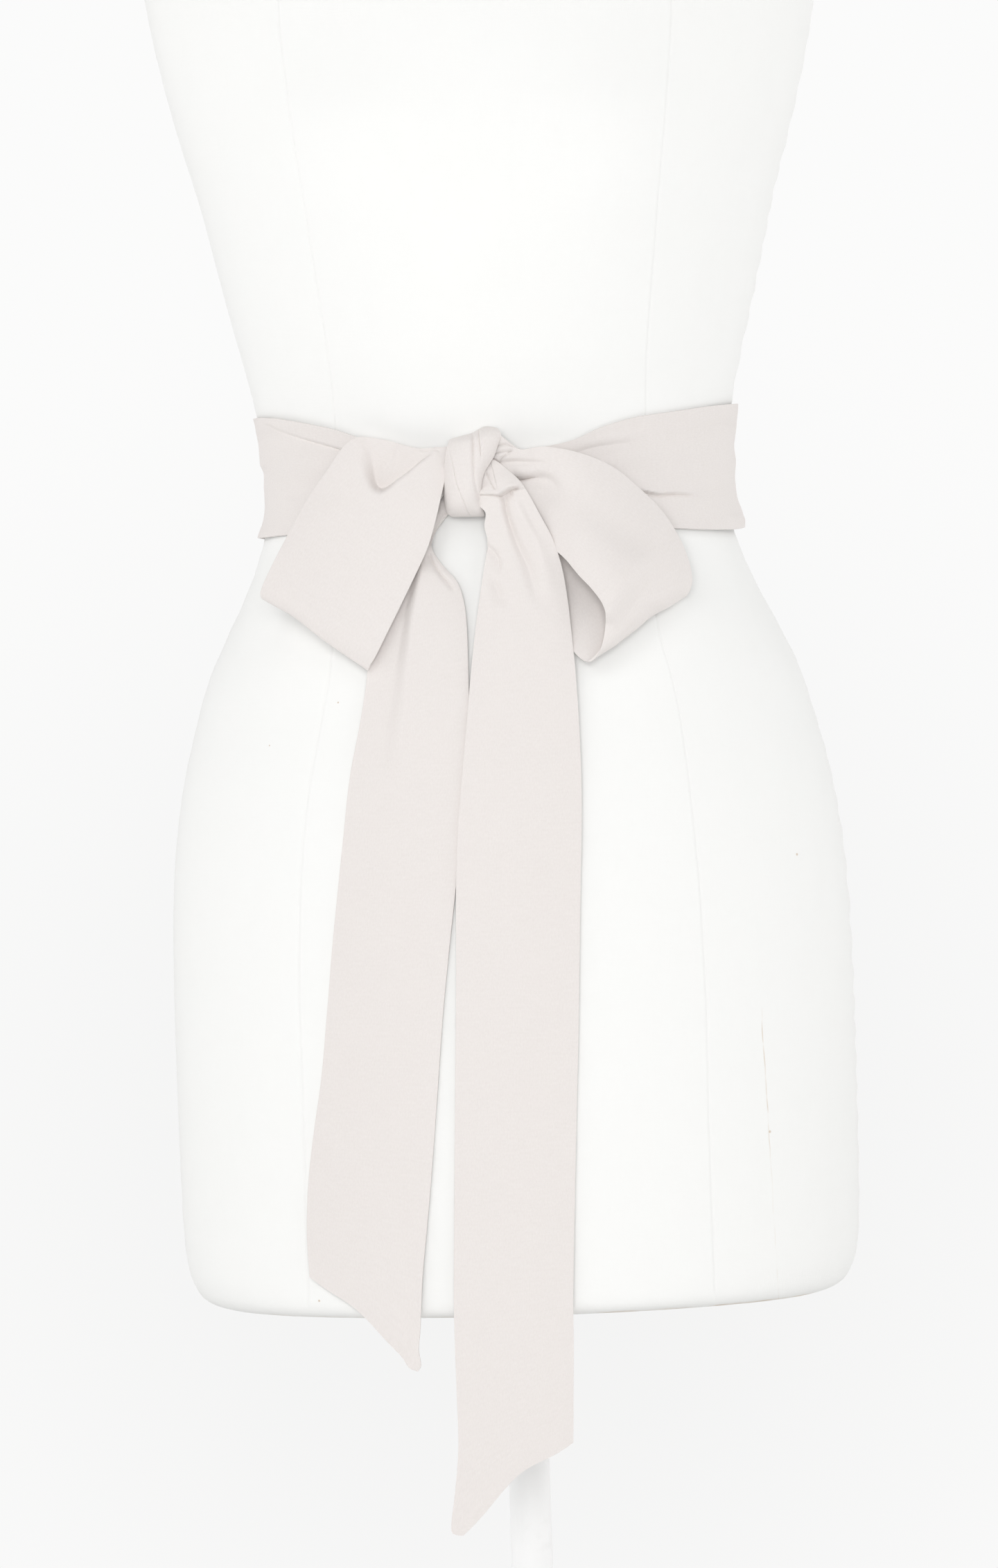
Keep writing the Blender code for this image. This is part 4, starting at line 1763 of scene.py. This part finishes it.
def waist_wrap() -> WaistWrap:
    """The stretch round the waist.

    Returns:
        The stretch, both of whose ends lie under the knot.
    """
    return WaistWrap(
        name="sash_waist",
        node="waist_wrap",
        steps=(470, 94),
        flat=(FULL_WIDTH, 0.70),
        held=Hold.DRAPED,
        rests_on=("form_skin",),
        pacing=((0.0, 0.0), (0.04, 2.6), (0.385, 7.0), (0.645, 13.0), (0.958, 18.6), (1.0, 21.0)),
        seed=0.7,
        bends=(
            Bend(-2.5, 1004.0, 1033.5, 1.5, 1.5, 1.5),
            Bend(-9, 1003.0, 1034.6, 1.5, 1.5, 1.5),
            Bend(-18, 1000.5, 1036.3, 1.5, 1.5, 1.5),
            Bend(-30, 998.0, 1043.0, 1.5, 1.5, 1.7),
            Bend(-42, 997.0, 1051.0, 1.5, 1.6, 1.9),
            Bend(-60, 997.0, 1058.0, 1.7, 1.9, 2.0),
            Bend(-78, 997.5, 1061.0, 2.6, 1.6, 2.0),
            Bend(-95, 998.5, 1061.5, 3.0, 1.5, 1.9),
            Bend(-125, 997.5, 1061.0, 2.2, 1.8, 2.4),
            Bend(-155, 996.0, 1060.0, 1.7, 2.2, 1.8),
            Bend(-180, 996.0, 1059.5, 2.2, 1.6, 1.8),
            Bend(-205, 996.0, 1060.0, 1.8, 2.1, 2.2),
            Bend(-235, 996.5, 1061.0, 2.4, 1.7, 1.9),
            Bend(-265, 996.0, 1061.0, 5.9, 4.6, 3.2),
            Bend(-282, 993.3, 1059.3, 5.4, 3.8, 2.6),
            Bend(-298, 992.2, 1056.5, 3.4, 2.4, 1.9),
            Bend(-312, 992.5, 1053.0, 2.0, 1.7, 1.7),
            Bend(-323, 994.0, 1050.0, 1.6, 1.5, 1.6),
            Bend(-332, 997.0, 1045.0, 1.5, 1.5, 1.5),
            Bend(-340, 999.5, 1038.2, 1.5, 1.5, 1.5),
            Bend(-350, 1002.5, 1034.4, 1.5, 1.5, 1.5),
            Bend(-358, 1004.0, 1033.4, 1.5, 1.5, 1.5),
        ),
        creases=(
            Crease(
                LAP,
                line=(
                    (-120.6, 1058.4), (-114.2, 1055.7), (-108.2, 1052.2), (-100.3, 1048.7),
                    (-93.5, 1046.0), (-85.0, 1042.8), (-75.3, 1039.3), (-70, 1037.2),
                ),
                depth=(0.5, 0.8, 1.1, 1.3), left=14.0, right=0.75, fade_in=0.12, fade_out=0.0,
                cut=(0.1, 0.3, 0.5, 0.7),
            ),
            Crease(
                TROUGH,
                line=((-109.8, 1019.3), (-103.7, 1017.5), (-96.9, 1015.3)),
                depth=0.9, left=2.5, right=2.0, fade_in=0.4, fade_out=0.3,
            ),
            Crease(
                TROUGH,
                line=((-126, 1037), (-119, 1036.5), (-112, 1036)),
                depth=-0.8, left=2.6, right=2.6, fade_in=0.0, fade_out=0.7,
            ),
            Crease(
                TROUGH,
                line=((-126, 1013), (-115, 1013.5), (-100, 1013)),
                depth=0.7, left=4.0, right=5.0, fade_in=0.0, fade_out=0.8,
            ),
            Crease(
                TROUGH,
                line=((44, 1030.4), (48, 1031.8), (56.2, 1033.8), (69, 1035.9), (79.4, 1038.9)),
                depth=(0.9, 1.3, 1.1, 0.8), left=2.2, right=5.5, fade_in=0.05, fade_out=0.4,
            ),
            Crease(
                TROUGH,
                line=((44, 1035.4), (56, 1038.2), (69, 1040.4), (84, 1043.5)),
                depth=-0.7, left=3.0, right=2.6, fade_in=0.0, fade_out=0.5,
            ),
            Crease(
                LAP,
                line=(
                    (62, 1013.6), (70, 1012.9), (79.1, 1011.3), (84.8, 1010.4), (93.1, 1010.9),
                    (103.7, 1010.6), (110, 1011),
                ),
                depth=(3.0, 3.0, 2.4, 1.5, 0.8), left=6.0, right=0.85, fade_in=0.05, fade_out=0.3,
                cut=(2.4, 2.4, 1.9, 1.0, 0.4),
            ),
            Crease(
                TROUGH,
                line=((128, 1046.5), (120, 1046), (112, 1045)),
                depth=0.7, left=3.0, right=3.0, fade_in=0.0, fade_out=0.7,
            ),
            Crease(
                TROUGH,
                line=((130, 999), (120, 998.5), (110, 999)),
                depth=-1.0, left=3.0, right=2.5, fade_in=0.0, fade_out=0.7,
            ),
        ),
        back_creases=(
            Crease(
                LAP,
                line=((100, 1030), (60, 1026), (20, 1027), (-10, 1029)),
                depth=0.9, left=8.0, right=0.9, fade_in=0.3, fade_out=0.6,
            ),
            Crease(
                TROUGH,
                line=((-105, 1042), (-70, 1040), (-40, 1043), (-15, 1042)),
                depth=0.8, left=3.0, right=4.0, fade_in=0.3, fade_out=0.5,
            ),
            Crease(
                TROUGH,
                line=((-95, 1012), (-55, 1010), (-20, 1013), (15, 1010)),
                depth=0.7, left=3.5, right=3.0, fade_in=0.4, fade_out=0.5,
            ),
            Crease(
                TROUGH,
                line=((30, 1046), (60, 1049), (95, 1047)),
                depth=0.6, left=3.0, right=3.0, fade_in=0.4, fade_out=0.4,
            ),
        ),
    )


def loop_left() -> Ribbon:
    """The bow's loop on the viewer's left.

    Returns:
        The stretch: the front layer out from the knot, the turn, and the rear layer back.
    """
    return Ribbon(
        name="sash_loop_left",
        node="loop_left",
        steps=(290, 92),
        flat=(FULL_WIDTH, 0.27),
        held=Hold.GATHERED,
        rests_on=("sash_waist", "form_skin"),
        pacing=((0.0, 0.0), (0.10, 1.0), (0.45, 5.0), (0.72, 9.6), (0.82, 12.5), (1.0, 19.0)),
        seed=2.1,
        stations=(
            Station(-8, 1036.5, 10.4, -8, 1026, 10.4, 0),
            Station(-20, 1036.6, 11.4, -20.6, 1030.6, 11.4, 0),
            Station(-36, 1036.6, 13.0, -21.8, 1020.5, 12.2, 0.5),
            Station(-54, 1042.0, 15.0, -24.6, 1009, 12.8, 1),
            Station(-69.5, 1042.4, 17.5, -27.6, 998, 12.6, 2),
            Station(-83, 1026.9, 21.0, -31.9, 985, 12.3, 2),
            Station(-94, 1012.2, 25.0, -38.6, 971.3, 12.2, 2),
            Station(-102.6, 997.6, 29.0, -45.9, 957.3, 12.0, 1),
            Station(-110.4, 984, 32.0, -53.8, 942.4, 11.8, 0),
            Station(-117, 971.5, 33.0, -60.0, 931, 11.0, 0),
            Station(-119.4, 965.4, 31.0, -63.2, 926.2, 9.5, 0),
            Station(-118.8, 962.6, 27.0, -64.3, 923.6, 7.8, 0),
            Station(-117.5, 965, 23.0, -63, 926, 7.2, 0),
            Station(-113, 974, 20.5, -59.4, 934, 8.0, 0),
            Station(-105, 989, 17.0, -53, 950, 8.8, 0),
            Station(-94, 1006, 13.0, -44, 969, 9.2, 0),
            Station(-79, 1023, 10.0, -35, 988, 8.4, 0),
            Station(-58, 1037, 8.0, -28, 1005, 6.8, 0),
            Station(-32, 1035, 7.0, -20, 1014, 6.8, 0),
            Station(-8, 1034, 6.8, -8, 1018, 6.8, 0),
        ),
        creases=(
            Crease(
                TROUGH,
                line=(
                    (-60.5, 1046), (-59.2, 1038), (-58.4, 1031), (-58.2, 1025), (-57.8, 1020.4),
                    (-56.2, 1017.3), (-52.8, 1016.9), (-46.5, 1020.8), (-41, 1024.4),
                    (-34.7, 1029.1), (-29.9, 1032.4), (-26.5, 1034.2),
                ),
                depth=(1.5, 3.6, 5.8, 7.6, 8.2, 7.8, 6.6, 5.0, 3.2, 1.6),
                left=(9.0, 10.0, 11.0, 11.0, 9.0, 6.0, 3.0),
                right=(6.0, 5.5, 5.0, 3.4, 1.0, 0.7, 0.7, 0.7, 0.7), fade_in=0.0, fade_out=0.12,
                rows=FRONT, floor=4.0, mix=3.0,
            ),
            Crease(
                TROUGH,
                line=((-36, 1034.2), (-30.0, 1034.4), (-26.4, 1035.2), (-22.1, 1034.4)),
                depth=0.7, left=0.9, right=0.9, fade_in=0.3, fade_out=0.2, rows=FRONT,
            ),
        ),
        pushes=(
            Push(-102, 952, 14.0, 0.0, 1.9),
            Push(-22.2, 1033.5, 2.5, -0.9, -0.6),
        ),
    )


def loop_right() -> Ribbon:
    """The bow's loop on the viewer's right.

    Returns:
        The stretch: the front layer out from the knot, the turn, and the rear layer back.
    """
    return Ribbon(
        name="sash_loop_right",
        node="loop_right",
        steps=(300, 92),
        flat=(FULL_WIDTH, 0.26),
        held=Hold.GATHERED,
        rests_on=("sash_waist", "form_skin"),
        pacing=((0.0, 0.0), (0.16, 2.0), (0.46, 5.0), (0.72, 10.0), (0.83, 13.5), (1.0, 19.0)),
        seed=4.4,
        stations=(
            Station(-2, 1041.5, 13.0, -2, 1020, 9.0, 0),
            Station(6.6, 1041.4, 14.2, 6, 1010, 7.4, 0),
            Station(16.6, 1033.9, 14.0, 14, 1002, 6.4, 0),
            Station(29, 1034.8, 13.0, 24, 991, 6.2, 1),
            Station(46, 1031.3, 14.5, 31, 984, 8.5, 3),
            Station(63, 1024, 15.0, 38.5, 977, 13.5, 5),
            Station(77, 1012.4, 14.0, 45.4, 968, 17.0, 5.5),
            Station(88.5, 1000.2, 13.0, 52, 960.5, 18.6, 6),
            Station(97, 985.8, 12.0, 57, 953, 19.2, 6),
            Station(100.8, 975.2, 11.0, 58.4, 946.5, 18.4, 5.4),
            Station(102.4, 966.6, 10.0, 57.3, 938, 16.8, 4.4),
            Station(101.4, 960.8, 8.0, 54.4, 929.4, 14.2, 2.6),
            Station(98.8, 957.0, 5.6, 48.8, 924.0, 10.4, 0),
            Station(96.5, 958.6, 3.8, 43.4, 926.8, 8.4, 2.0),
            Station(94, 967, 3.2, 38, 935, 5.0, 3.0),
            Station(86, 985, 3.8, 28, 955, 2.2, 0.6),
            Station(70, 1005, 5.4, 17, 978, 2.6, 0),
            Station(48, 1022, 5.2, 7, 998, 3.6, 0),
            Station(22, 1030, 4.4, 0, 1008, 4.0, 0),
            Station(2, 1032, 4.2, -2, 1015, 4.0, 0),
        ),
        folds=(
            Fold(1.4, 0.55, 4.4, 0.46, 2.2, 0.14),
        ),
        creases=(
            Crease(
                TROUGH,
                line=((3, 1035.6), (6.1, 1036.0), (9.3, 1036.3), (12.5, 1035.5), (14.9, 1034.0)),
                depth=0.8, left=0.8, right=0.5, fade_in=0.0, fade_out=0.2, rows=FRONT,
            ),
            Crease(
                TROUGH,
                line=((2.5, 1031.6), (4.9, 1032.2), (7.4, 1032.6), (11.7, 1032.7), (14.5, 1033.3)),
                depth=0.8, left=0.7, right=0.5, fade_in=0.0, fade_out=0.2, rows=FRONT,
            ),
            Crease(
                TROUGH,
                line=(
                    (3, 1029.4), (5.5, 1027.9), (6.5, 1027.3), (7.1, 1028.9), (9.1, 1030.6),
                    (10.9, 1032.0), (14.5, 1033.6),
                ),
                depth=0.9, left=0.6, right=0.6, fade_in=0.0, fade_out=0.25, rows=FRONT,
            ),
            Crease(
                TROUGH,
                line=(
                    (6.2, 1026.9), (8.7, 1027.6), (14.3, 1027.8), (20.3, 1027.4), (27.4, 1026.9),
                    (36, 1026.2),
                ),
                depth=(1.6, 1.6, 1.3, 0.9), left=1.2, right=2.0, fade_in=0.0, fade_out=0.5,
                rows=FRONT,
            ),
            Crease(
                LAP,
                line=((10, 1019.6), (14.8, 1019.4), (17.6, 1019.4), (22.5, 1019.9), (28.2, 1019.8)),
                depth=1.8, left=4.0, right=(0.9, 0.9, 0.6), fade_in=0.0, fade_out=0.6, rows=FRONT,
                cut=(2.8, 3.0, 1.8, 1.0),
            ),
            Crease(
                TROUGH,
                line=(
                    (15, 1018.6), (22.5, 1019.2), (28.2, 1019.2), (31.7, 1018.0), (34.1, 1016.0),
                    (35.1, 1013.5), (34.4, 1011.0), (32.5, 1009.0),
                ),
                depth=1.9, left=2.2, right=2.8, fade_in=0.0, fade_out=0.6, rows=FRONT,
            ),
            Crease(
                LAP,
                line=(
                    (58.0, 941), (63.4, 948.6), (69.5, 957.2), (75.6, 965.7), (81.7, 974.3),
                    (87.8, 982.8),
                ),
                depth=(4.6, 6.4, 7.0, 6.0, 3.6), left=34.0, right=(5.6, 6.2, 6.8), fade_in=0.12,
                fade_out=0.35, rows=(0.0, 11.8), cut=0.0,
            ),
        ),
        pushes=(
            Push(81, 946, 8.0, 0.0, 1.5),
            Push(62, 932, 6.0, 0.0, -0.6),
        ),
    )


def tail_left() -> Ribbon:
    """The tail that hangs behind the left loop.

    Returns:
        The stretch, from under the knot down to its slanted end.
    """
    return Ribbon(
        name="sash_tail_left",
        node="tail_left",
        steps=(380, 70),
        flat=(FULL_WIDTH, 0.44),
        held=Hold.HUNG,
        rests_on=("form_skin",),
        pacing=((0.0, 0.0), (0.42, 8.0), (0.95, 19.0), (1.0, 22.0)),
        seed=1.3,
        stations=(
            Station(-13, 1013, 3.5, -13, 1004, 3.5, 0),
            Station(-23, 1011, 3.5, -20, 1003, 3.5, 0.6),
            Station(-36, 1005, 3.4, -26, 996.5, 3.4, 1.2),
            Station(-46, 995, 3.4, -29.4, 991, 3.2, 1.2),
            Station(-52, 983, 5.6, -30, 984.2, 3.0, 2.2),
            Station(-57, 968, 7.0, -25, 976, 2.0, 1.8),
            Station(-61, 951, 7.0, -17, 966, 1.5, 0.8),
            Station(-64, 933, 6.0, -13.6, 951, 1.3, 0),
            Station(-66, 916, 4.6, -13, 928, 1.3, 0),
            Station(-70, 895, 3.2, -13.4, 897, 1.3, 0),
            Station(-76, 868, 1.8, -15.5, 869, 1.3, 0),
            Station(-80, 840, 1.3, -18.5, 840, 1.3, 0),
            Station(-84, 811, 1.3, -22.7, 811, 1.3, 0),
            Station(-88, 781, 1.4, -27, 781, 1.4, 0),
            Station(-92, 747, 1.4, -31.5, 747, 1.4, 0),
            Station(-96, 715, 1.5, -35.2, 712, 1.4, 0),
            Station(-101, 687, 1.6, -38.6, 680, 1.5, 0),
            Station(-105, 660, 1.8, -42, 650, 1.6, 0),
            Station(-106.5, 636, 2.0, -46.6, 613, 1.8, 0),
            Station(-106.3, 622, 2.0, -48.7, 586, 1.9, 0),
            Station(-106.1, 616, 2.0, -49.9, 575.0, 2.2, 0),
            Station(-106.0, 613.4, 2.0, -48.9, 567.4, 2.4, 0),
            Station(-105.9, 611.9, 2.0, -50.6, 564.2, 2.2, 0),
        ),
        creases=(
            Crease(
                LAP,
                line=(
                    (-35.5, 982), (-37.5, 973), (-39.6, 963.5), (-42.4, 951.4), (-44.6, 937.9),
                    (-46.7, 924.8), (-49, 909), (-52, 893), (-54, 878), (-56, 862),
                ),
                depth=(2.4, 3.8, 4.6, 5.0, 4.8, 4.4, 3.6), left=(15.0, 18.0, 22.0),
                right=(2.2, 2.8, 3.6, 4.4, 5.2), fade_in=0.08, fade_out=0.30, cut=0.0,
            ),
            Crease(
                TROUGH,
                line=((-22, 1004), (-26.5, 997.5), (-30.6, 990.5), (-31.5, 984)),
                depth=(1.6, 2.4, 2.2), left=2.0, right=1.4, fade_in=0.1, fade_out=0.3,
            ),
            Crease(
                TROUGH,
                line=((-32.2, 984), (-30.0, 978), (-26.0, 971.6), (-21.0, 965.6), (-18.0, 960)),
                depth=(1.2, 1.6, 1.5, 1.0), left=0.9, right=1.4, fade_in=0.1, fade_out=0.3,
            ),
        ),
        pushes=(
            Push(-82, 590, 20.0, 0.0, 4.6),
            Push(-55, 566.5, 4.0, -0.8, -2.0),
        ),
    )


def tail_right() -> Ribbon:
    """The longer tail, folded over at the knot's right.

    Returns:
        The stretch, from under the knot, over the fold and down to its slanted end.
    """
    return Ribbon(
        name="sash_tail_right",
        node="tail_right",
        steps=(420, 76),
        flat=(FULL_WIDTH, 0.53),
        held=Hold.HUNG,
        rests_on=("form_skin",),
        pacing=((0.0, 0.0), (0.32, 5.0), (0.52, 9.0), (0.94, 22.0), (1.0, 25.0)),
        seed=3.2,
        stations=(
            Station(-9, 1013, 12.2, -7, 1025, 12.4, 0),
            Station(-4, 1012, 12.8, 3, 1028.5, 12.8, 0.5),
            Station(-5.6, 1010.5, 12.6, 11, 1022.6, 14.2, 1.6),
            Station(-6.2, 1007.2, 11.8, 17, 1016.5, 14.4, 1.4),
            Station(-1.6, 1001.8, 13.0, 21, 1010.2, 13.8, 0),
            Station(-2.3, 995, 12.0, 26.5, 999.3, 13.4, 0),
            Station(-0.9, 986.5, 10.2, 32, 988, 13.0, 0),
            Station(-3, 975, 8.4, 36, 975, 12.0, 0),
            Station(-5.5, 961, 6.4, 38.3, 961, 10.4, 0.6),
            Station(-8.5, 943, 4.8, 40.0, 943, 8.4, 0.6),
            Station(-11.5, 921, 3.8, 41.6, 921, 6.4, 0.3),
            Station(-14.7, 893, 3.7, 42.7, 893, 4.2, 0),
            Station(-18, 865, 3.2, 43, 865, 3.4, 0),
            Station(-21, 838, 3.0, 42.3, 838, 2.6, 0),
            Station(-22.8, 805, 2.9, 40.6, 805, 2.0, 0),
            Station(-24, 769, 2.6, 38.9, 769, 1.7, 0),
            Station(-25.5, 733, 2.2, 37.2, 733, 1.6, 0),
            Station(-27, 698, 2.0, 35.2, 698, 1.6, 0),
            Station(-29, 650, 2.0, 32.6, 650, 1.8, 0),
            Station(-31, 595, 2.2, 30.2, 603, 2.0, 0),
            Station(-31.0, 552, 2.6, 29.4, 572, 2.2, 0),
            Station(-31.0, 525, 3.2, 28.6, 552, 2.4, 0),
            Station(-33.2, 503, 4.0, 28.1, 536, 2.5, 0),
            Station(-35.6, 487.5, 4.8, 27.8, 529, 2.6, 0),
            Station(-35.4, 481.2, 5.0, 27.7, 526.3, 2.6, 0),
            Station(-30.0, 479.6, 4.6, 27.6, 525.3, 2.6, 0),
        ),
        folds=(
            Fold(6.0, 0.06, 10.4, 0.34, 1.0, 0.09),
            Fold(3.6, 0.66, 8.8, 0.84, -1.0, 0.08),
        ),
        creases=(
            Crease(
                LAP,
                line=(
                    (-8, 1011.6), (-3.8, 1011.4), (2.2, 1011.1), (5.8, 1010.8), (8.3, 1012.0),
                    (11.2, 1013.7), (14.0, 1014.3), (15.8, 1013.9), (16.6, 1012.3),
                ),
                depth=(1.2, 1.4, 2.4, 4.4, 4.2, 2.8), left=(5.0, 5.0, 7.0, 7.0),
                right=(0.55, 0.55, 0.7, 1.0, 1.0), fade_in=0.0, fade_out=0.12,
                cut=(0.4, 0.5, 1.8, 2.5, 2.2),
            ),
            Crease(
                TROUGH,
                line=((4.5, 1009.4), (8.3, 1010.2), (11.2, 1011.8), (14, 1012.6)),
                depth=2.8, left=0.9, right=3.0, fade_in=0.3, fade_out=0.3,
            ),
            Crease(
                TROUGH,
                line=(
                    (-1.2, 1023.4), (-0.6, 1022.1), (0.7, 1019.4), (2.1, 1016.5), (3.4, 1014.0),
                    (4.6, 1012.8),
                ),
                depth=0.9, left=0.9, right=0.6, fade_in=0.2, fade_out=0.1,
            ),
            Crease(
                TROUGH,
                line=(
                    (8.4, 1012), (8.7, 1004.2), (9.9, 998.5), (11.9, 992.4), (14.5, 984.5),
                    (18.5, 975.5), (21.0, 966.5), (23.6, 958.3), (26.9, 949.3),
                ),
                depth=(3.4, 3.2, 2.7, 2.2, 1.6), left=(2.0, 2.4, 3.4, 4.5),
                right=(1.4, 2.0, 2.8, 3.5), fade_in=0.12, fade_out=0.35,
            ),
            Crease(
                TROUGH,
                line=((16.9, 1006.5), (21.2, 997.4), (25.2, 989.5), (28.6, 984.8)),
                depth=0.5, left=1.8, right=1.6, fade_in=0.4, fade_out=0.5,
            ),
            Crease(
                TROUGH,
                line=(
                    (-2.5, 986.8), (-0.8, 984.7), (2.0, 982.1), (4.6, 977.8), (4.4, 973.0),
                    (3.6, 969),
                ),
                depth=(1.3, 1.6, 1.8, 1.5, 0.9), left=1.2, right=2.4, fade_in=0.0, fade_out=0.35,
            ),
            Crease(
                TROUGH,
                line=((-0.8, 969.8), (2.5, 963.6), (5.9, 955.3), (7.5, 951.7)),
                depth=1.3, left=2.4, right=2.8, fade_in=0.3, fade_out=0.4,
            ),
        ),
        pushes=(Push(-1, 503, 22.0, 0.0, 7.4),),
    )


def knot() -> Ribbon:
    """The short gathered stretch over the middle of the bow.

    Returns:
        The stretch, from behind the bow's top over its front to behind its bottom.
    """
    return Ribbon(
        name="sash_knot",
        node="knot_wrap",
        steps=(190, 96),
        flat=(0.028, 0.066),
        held=Hold.GATHERED,
        rests_on=("sash_loop_left", "sash_loop_right", "sash_tail_right"),
        pacing=((0.0, 0.0), (1.0, 12.0)),
        ripple=0.06,
        seed=5.5,
        thickness=1.0,
        stations=(
            Station(-16.5, 1038.4, 3.6, 6.0, 1043.4, 3.6, 0),
            Station(-17.6, 1039.6, 6.0, 6.6, 1045.0, 6.6, 0),
            Station(-18.4, 1040.0, 9.4, 7.0, 1045.4, 10.4, 1.5),
            Station(-18.9, 1039.0, 12.2, 7.4, 1044.0, 13.0, 4),
            Station(-19.6, 1036.4, 13.2, 7.4, 1040.2, 14.2, 6.5),
            Station(-21.0, 1030.5, 13.2, 4.6, 1032.0, 14.8, 6.5),
            Station(-22.0, 1022.5, 12.0, -1.6, 1022.5, 14.9, 6.5),
            Station(-22.4, 1014.0, 10.2, -3.7, 1013.5, 14.6, 7.0),
            Station(-22.1, 1007.4, 9.0, -4.3, 1007.6, 12.6, 6.5),
            Station(-21.2, 1003.4, 8.4, -3.2, 1003.6, 10.6, 4.5),
            Station(-19.4, 1001.4, 7.6, -2.4, 1001.0, 8.8, 2.0),
            Station(-17.5, 1001.0, 5.6, -3.2, 1000.6, 6.0, 0.5),
            Station(-15.5, 1001.8, 3.8, -4, 1001.8, 3.8, 0),
        ),
        creases=(
            Crease(
                LAP,
                line=(
                    (-18.5, 1035.9), (-17.9, 1031.6), (-17.0, 1027.7), (-16.1, 1022.7),
                    (-15.2, 1017.3), (-12.9, 1010.8), (-10.9, 1004.7), (-9.0, 1000.0),
                    (-8.6, 998.6),
                ),
                depth=0.6, left=2.5, right=0.45, fade_in=0.12, fade_out=0.0, cut=0.55,
            ),
            Crease(
                TROUGH,
                line=(
                    (-6.7, 1046), (-6.5, 1040.6), (-6.5, 1035.3), (-6.8, 1026.4), (-6.5, 1018.6),
                    (-5.5, 1012.2), (-4.4, 1007.6), (-4.1, 1004.4),
                ),
                depth=(1.6, 1.2, 1.1, 1.0), left=(0.8, 0.9), right=(1.1, 0.8), fade_in=0.0,
                fade_out=0.1,
            ),
            Crease(
                LAP,
                line=(
                    (-3.2, 1047), (-2.7, 1042.2), (-2.8, 1040.4), (-2.4, 1035.1), (-2.3, 1029.1),
                    (-2.0, 1024.5),
                ),
                depth=1.1, left=5.0, right=0.5, fade_in=0.0, fade_out=0.6, cut=0.9,
            ),
        ),
        pushes=(
            Push(8.4, 1046.0, 3.2, -1.3, -1.1),
            Push(8.0, 1034.0, 5.0, -0.8, 0.0),
            Push(-1.0, 1044.5, 4.5, 0.0, 1.8),
        ),
    )


@dataclass(frozen=True)
class Sash:
    """The whole sash, as the stretches that it shows when it is tied.

    Attributes:
        stretches: Its stretches, from the innermost out.
    """

    stretches: tuple[Stretch, ...] = field(
        default_factory=lambda: (
            waist_wrap(), tail_left(), loop_left(), loop_right(), tail_right(), knot()
        )
    )

    def build(self, finish: bpy.types.Material) -> list[bpy.types.Object]:
        """Make every stretch, in order."""
        return [stretch.build(finish) for stretch in self.stretches]


def main() -> None:
    """Build the studio, the form, the stand and the sash, and report each piece."""
    logging.basicConfig(level=logging.INFO, format="%(name)s: %(message)s")
    Studio().build()
    enamel = EnamelFinish().build()
    made = [DressForm().build(CanvasFinish().build())]
    made += Stand().build(enamel)
    made += Sash().build(CrepeFinish().build())
    for piece in made:
        LOG.info("%s: %d faces", piece.name, len(piece.data.polygons))


if __name__ == "__main__":
    main()
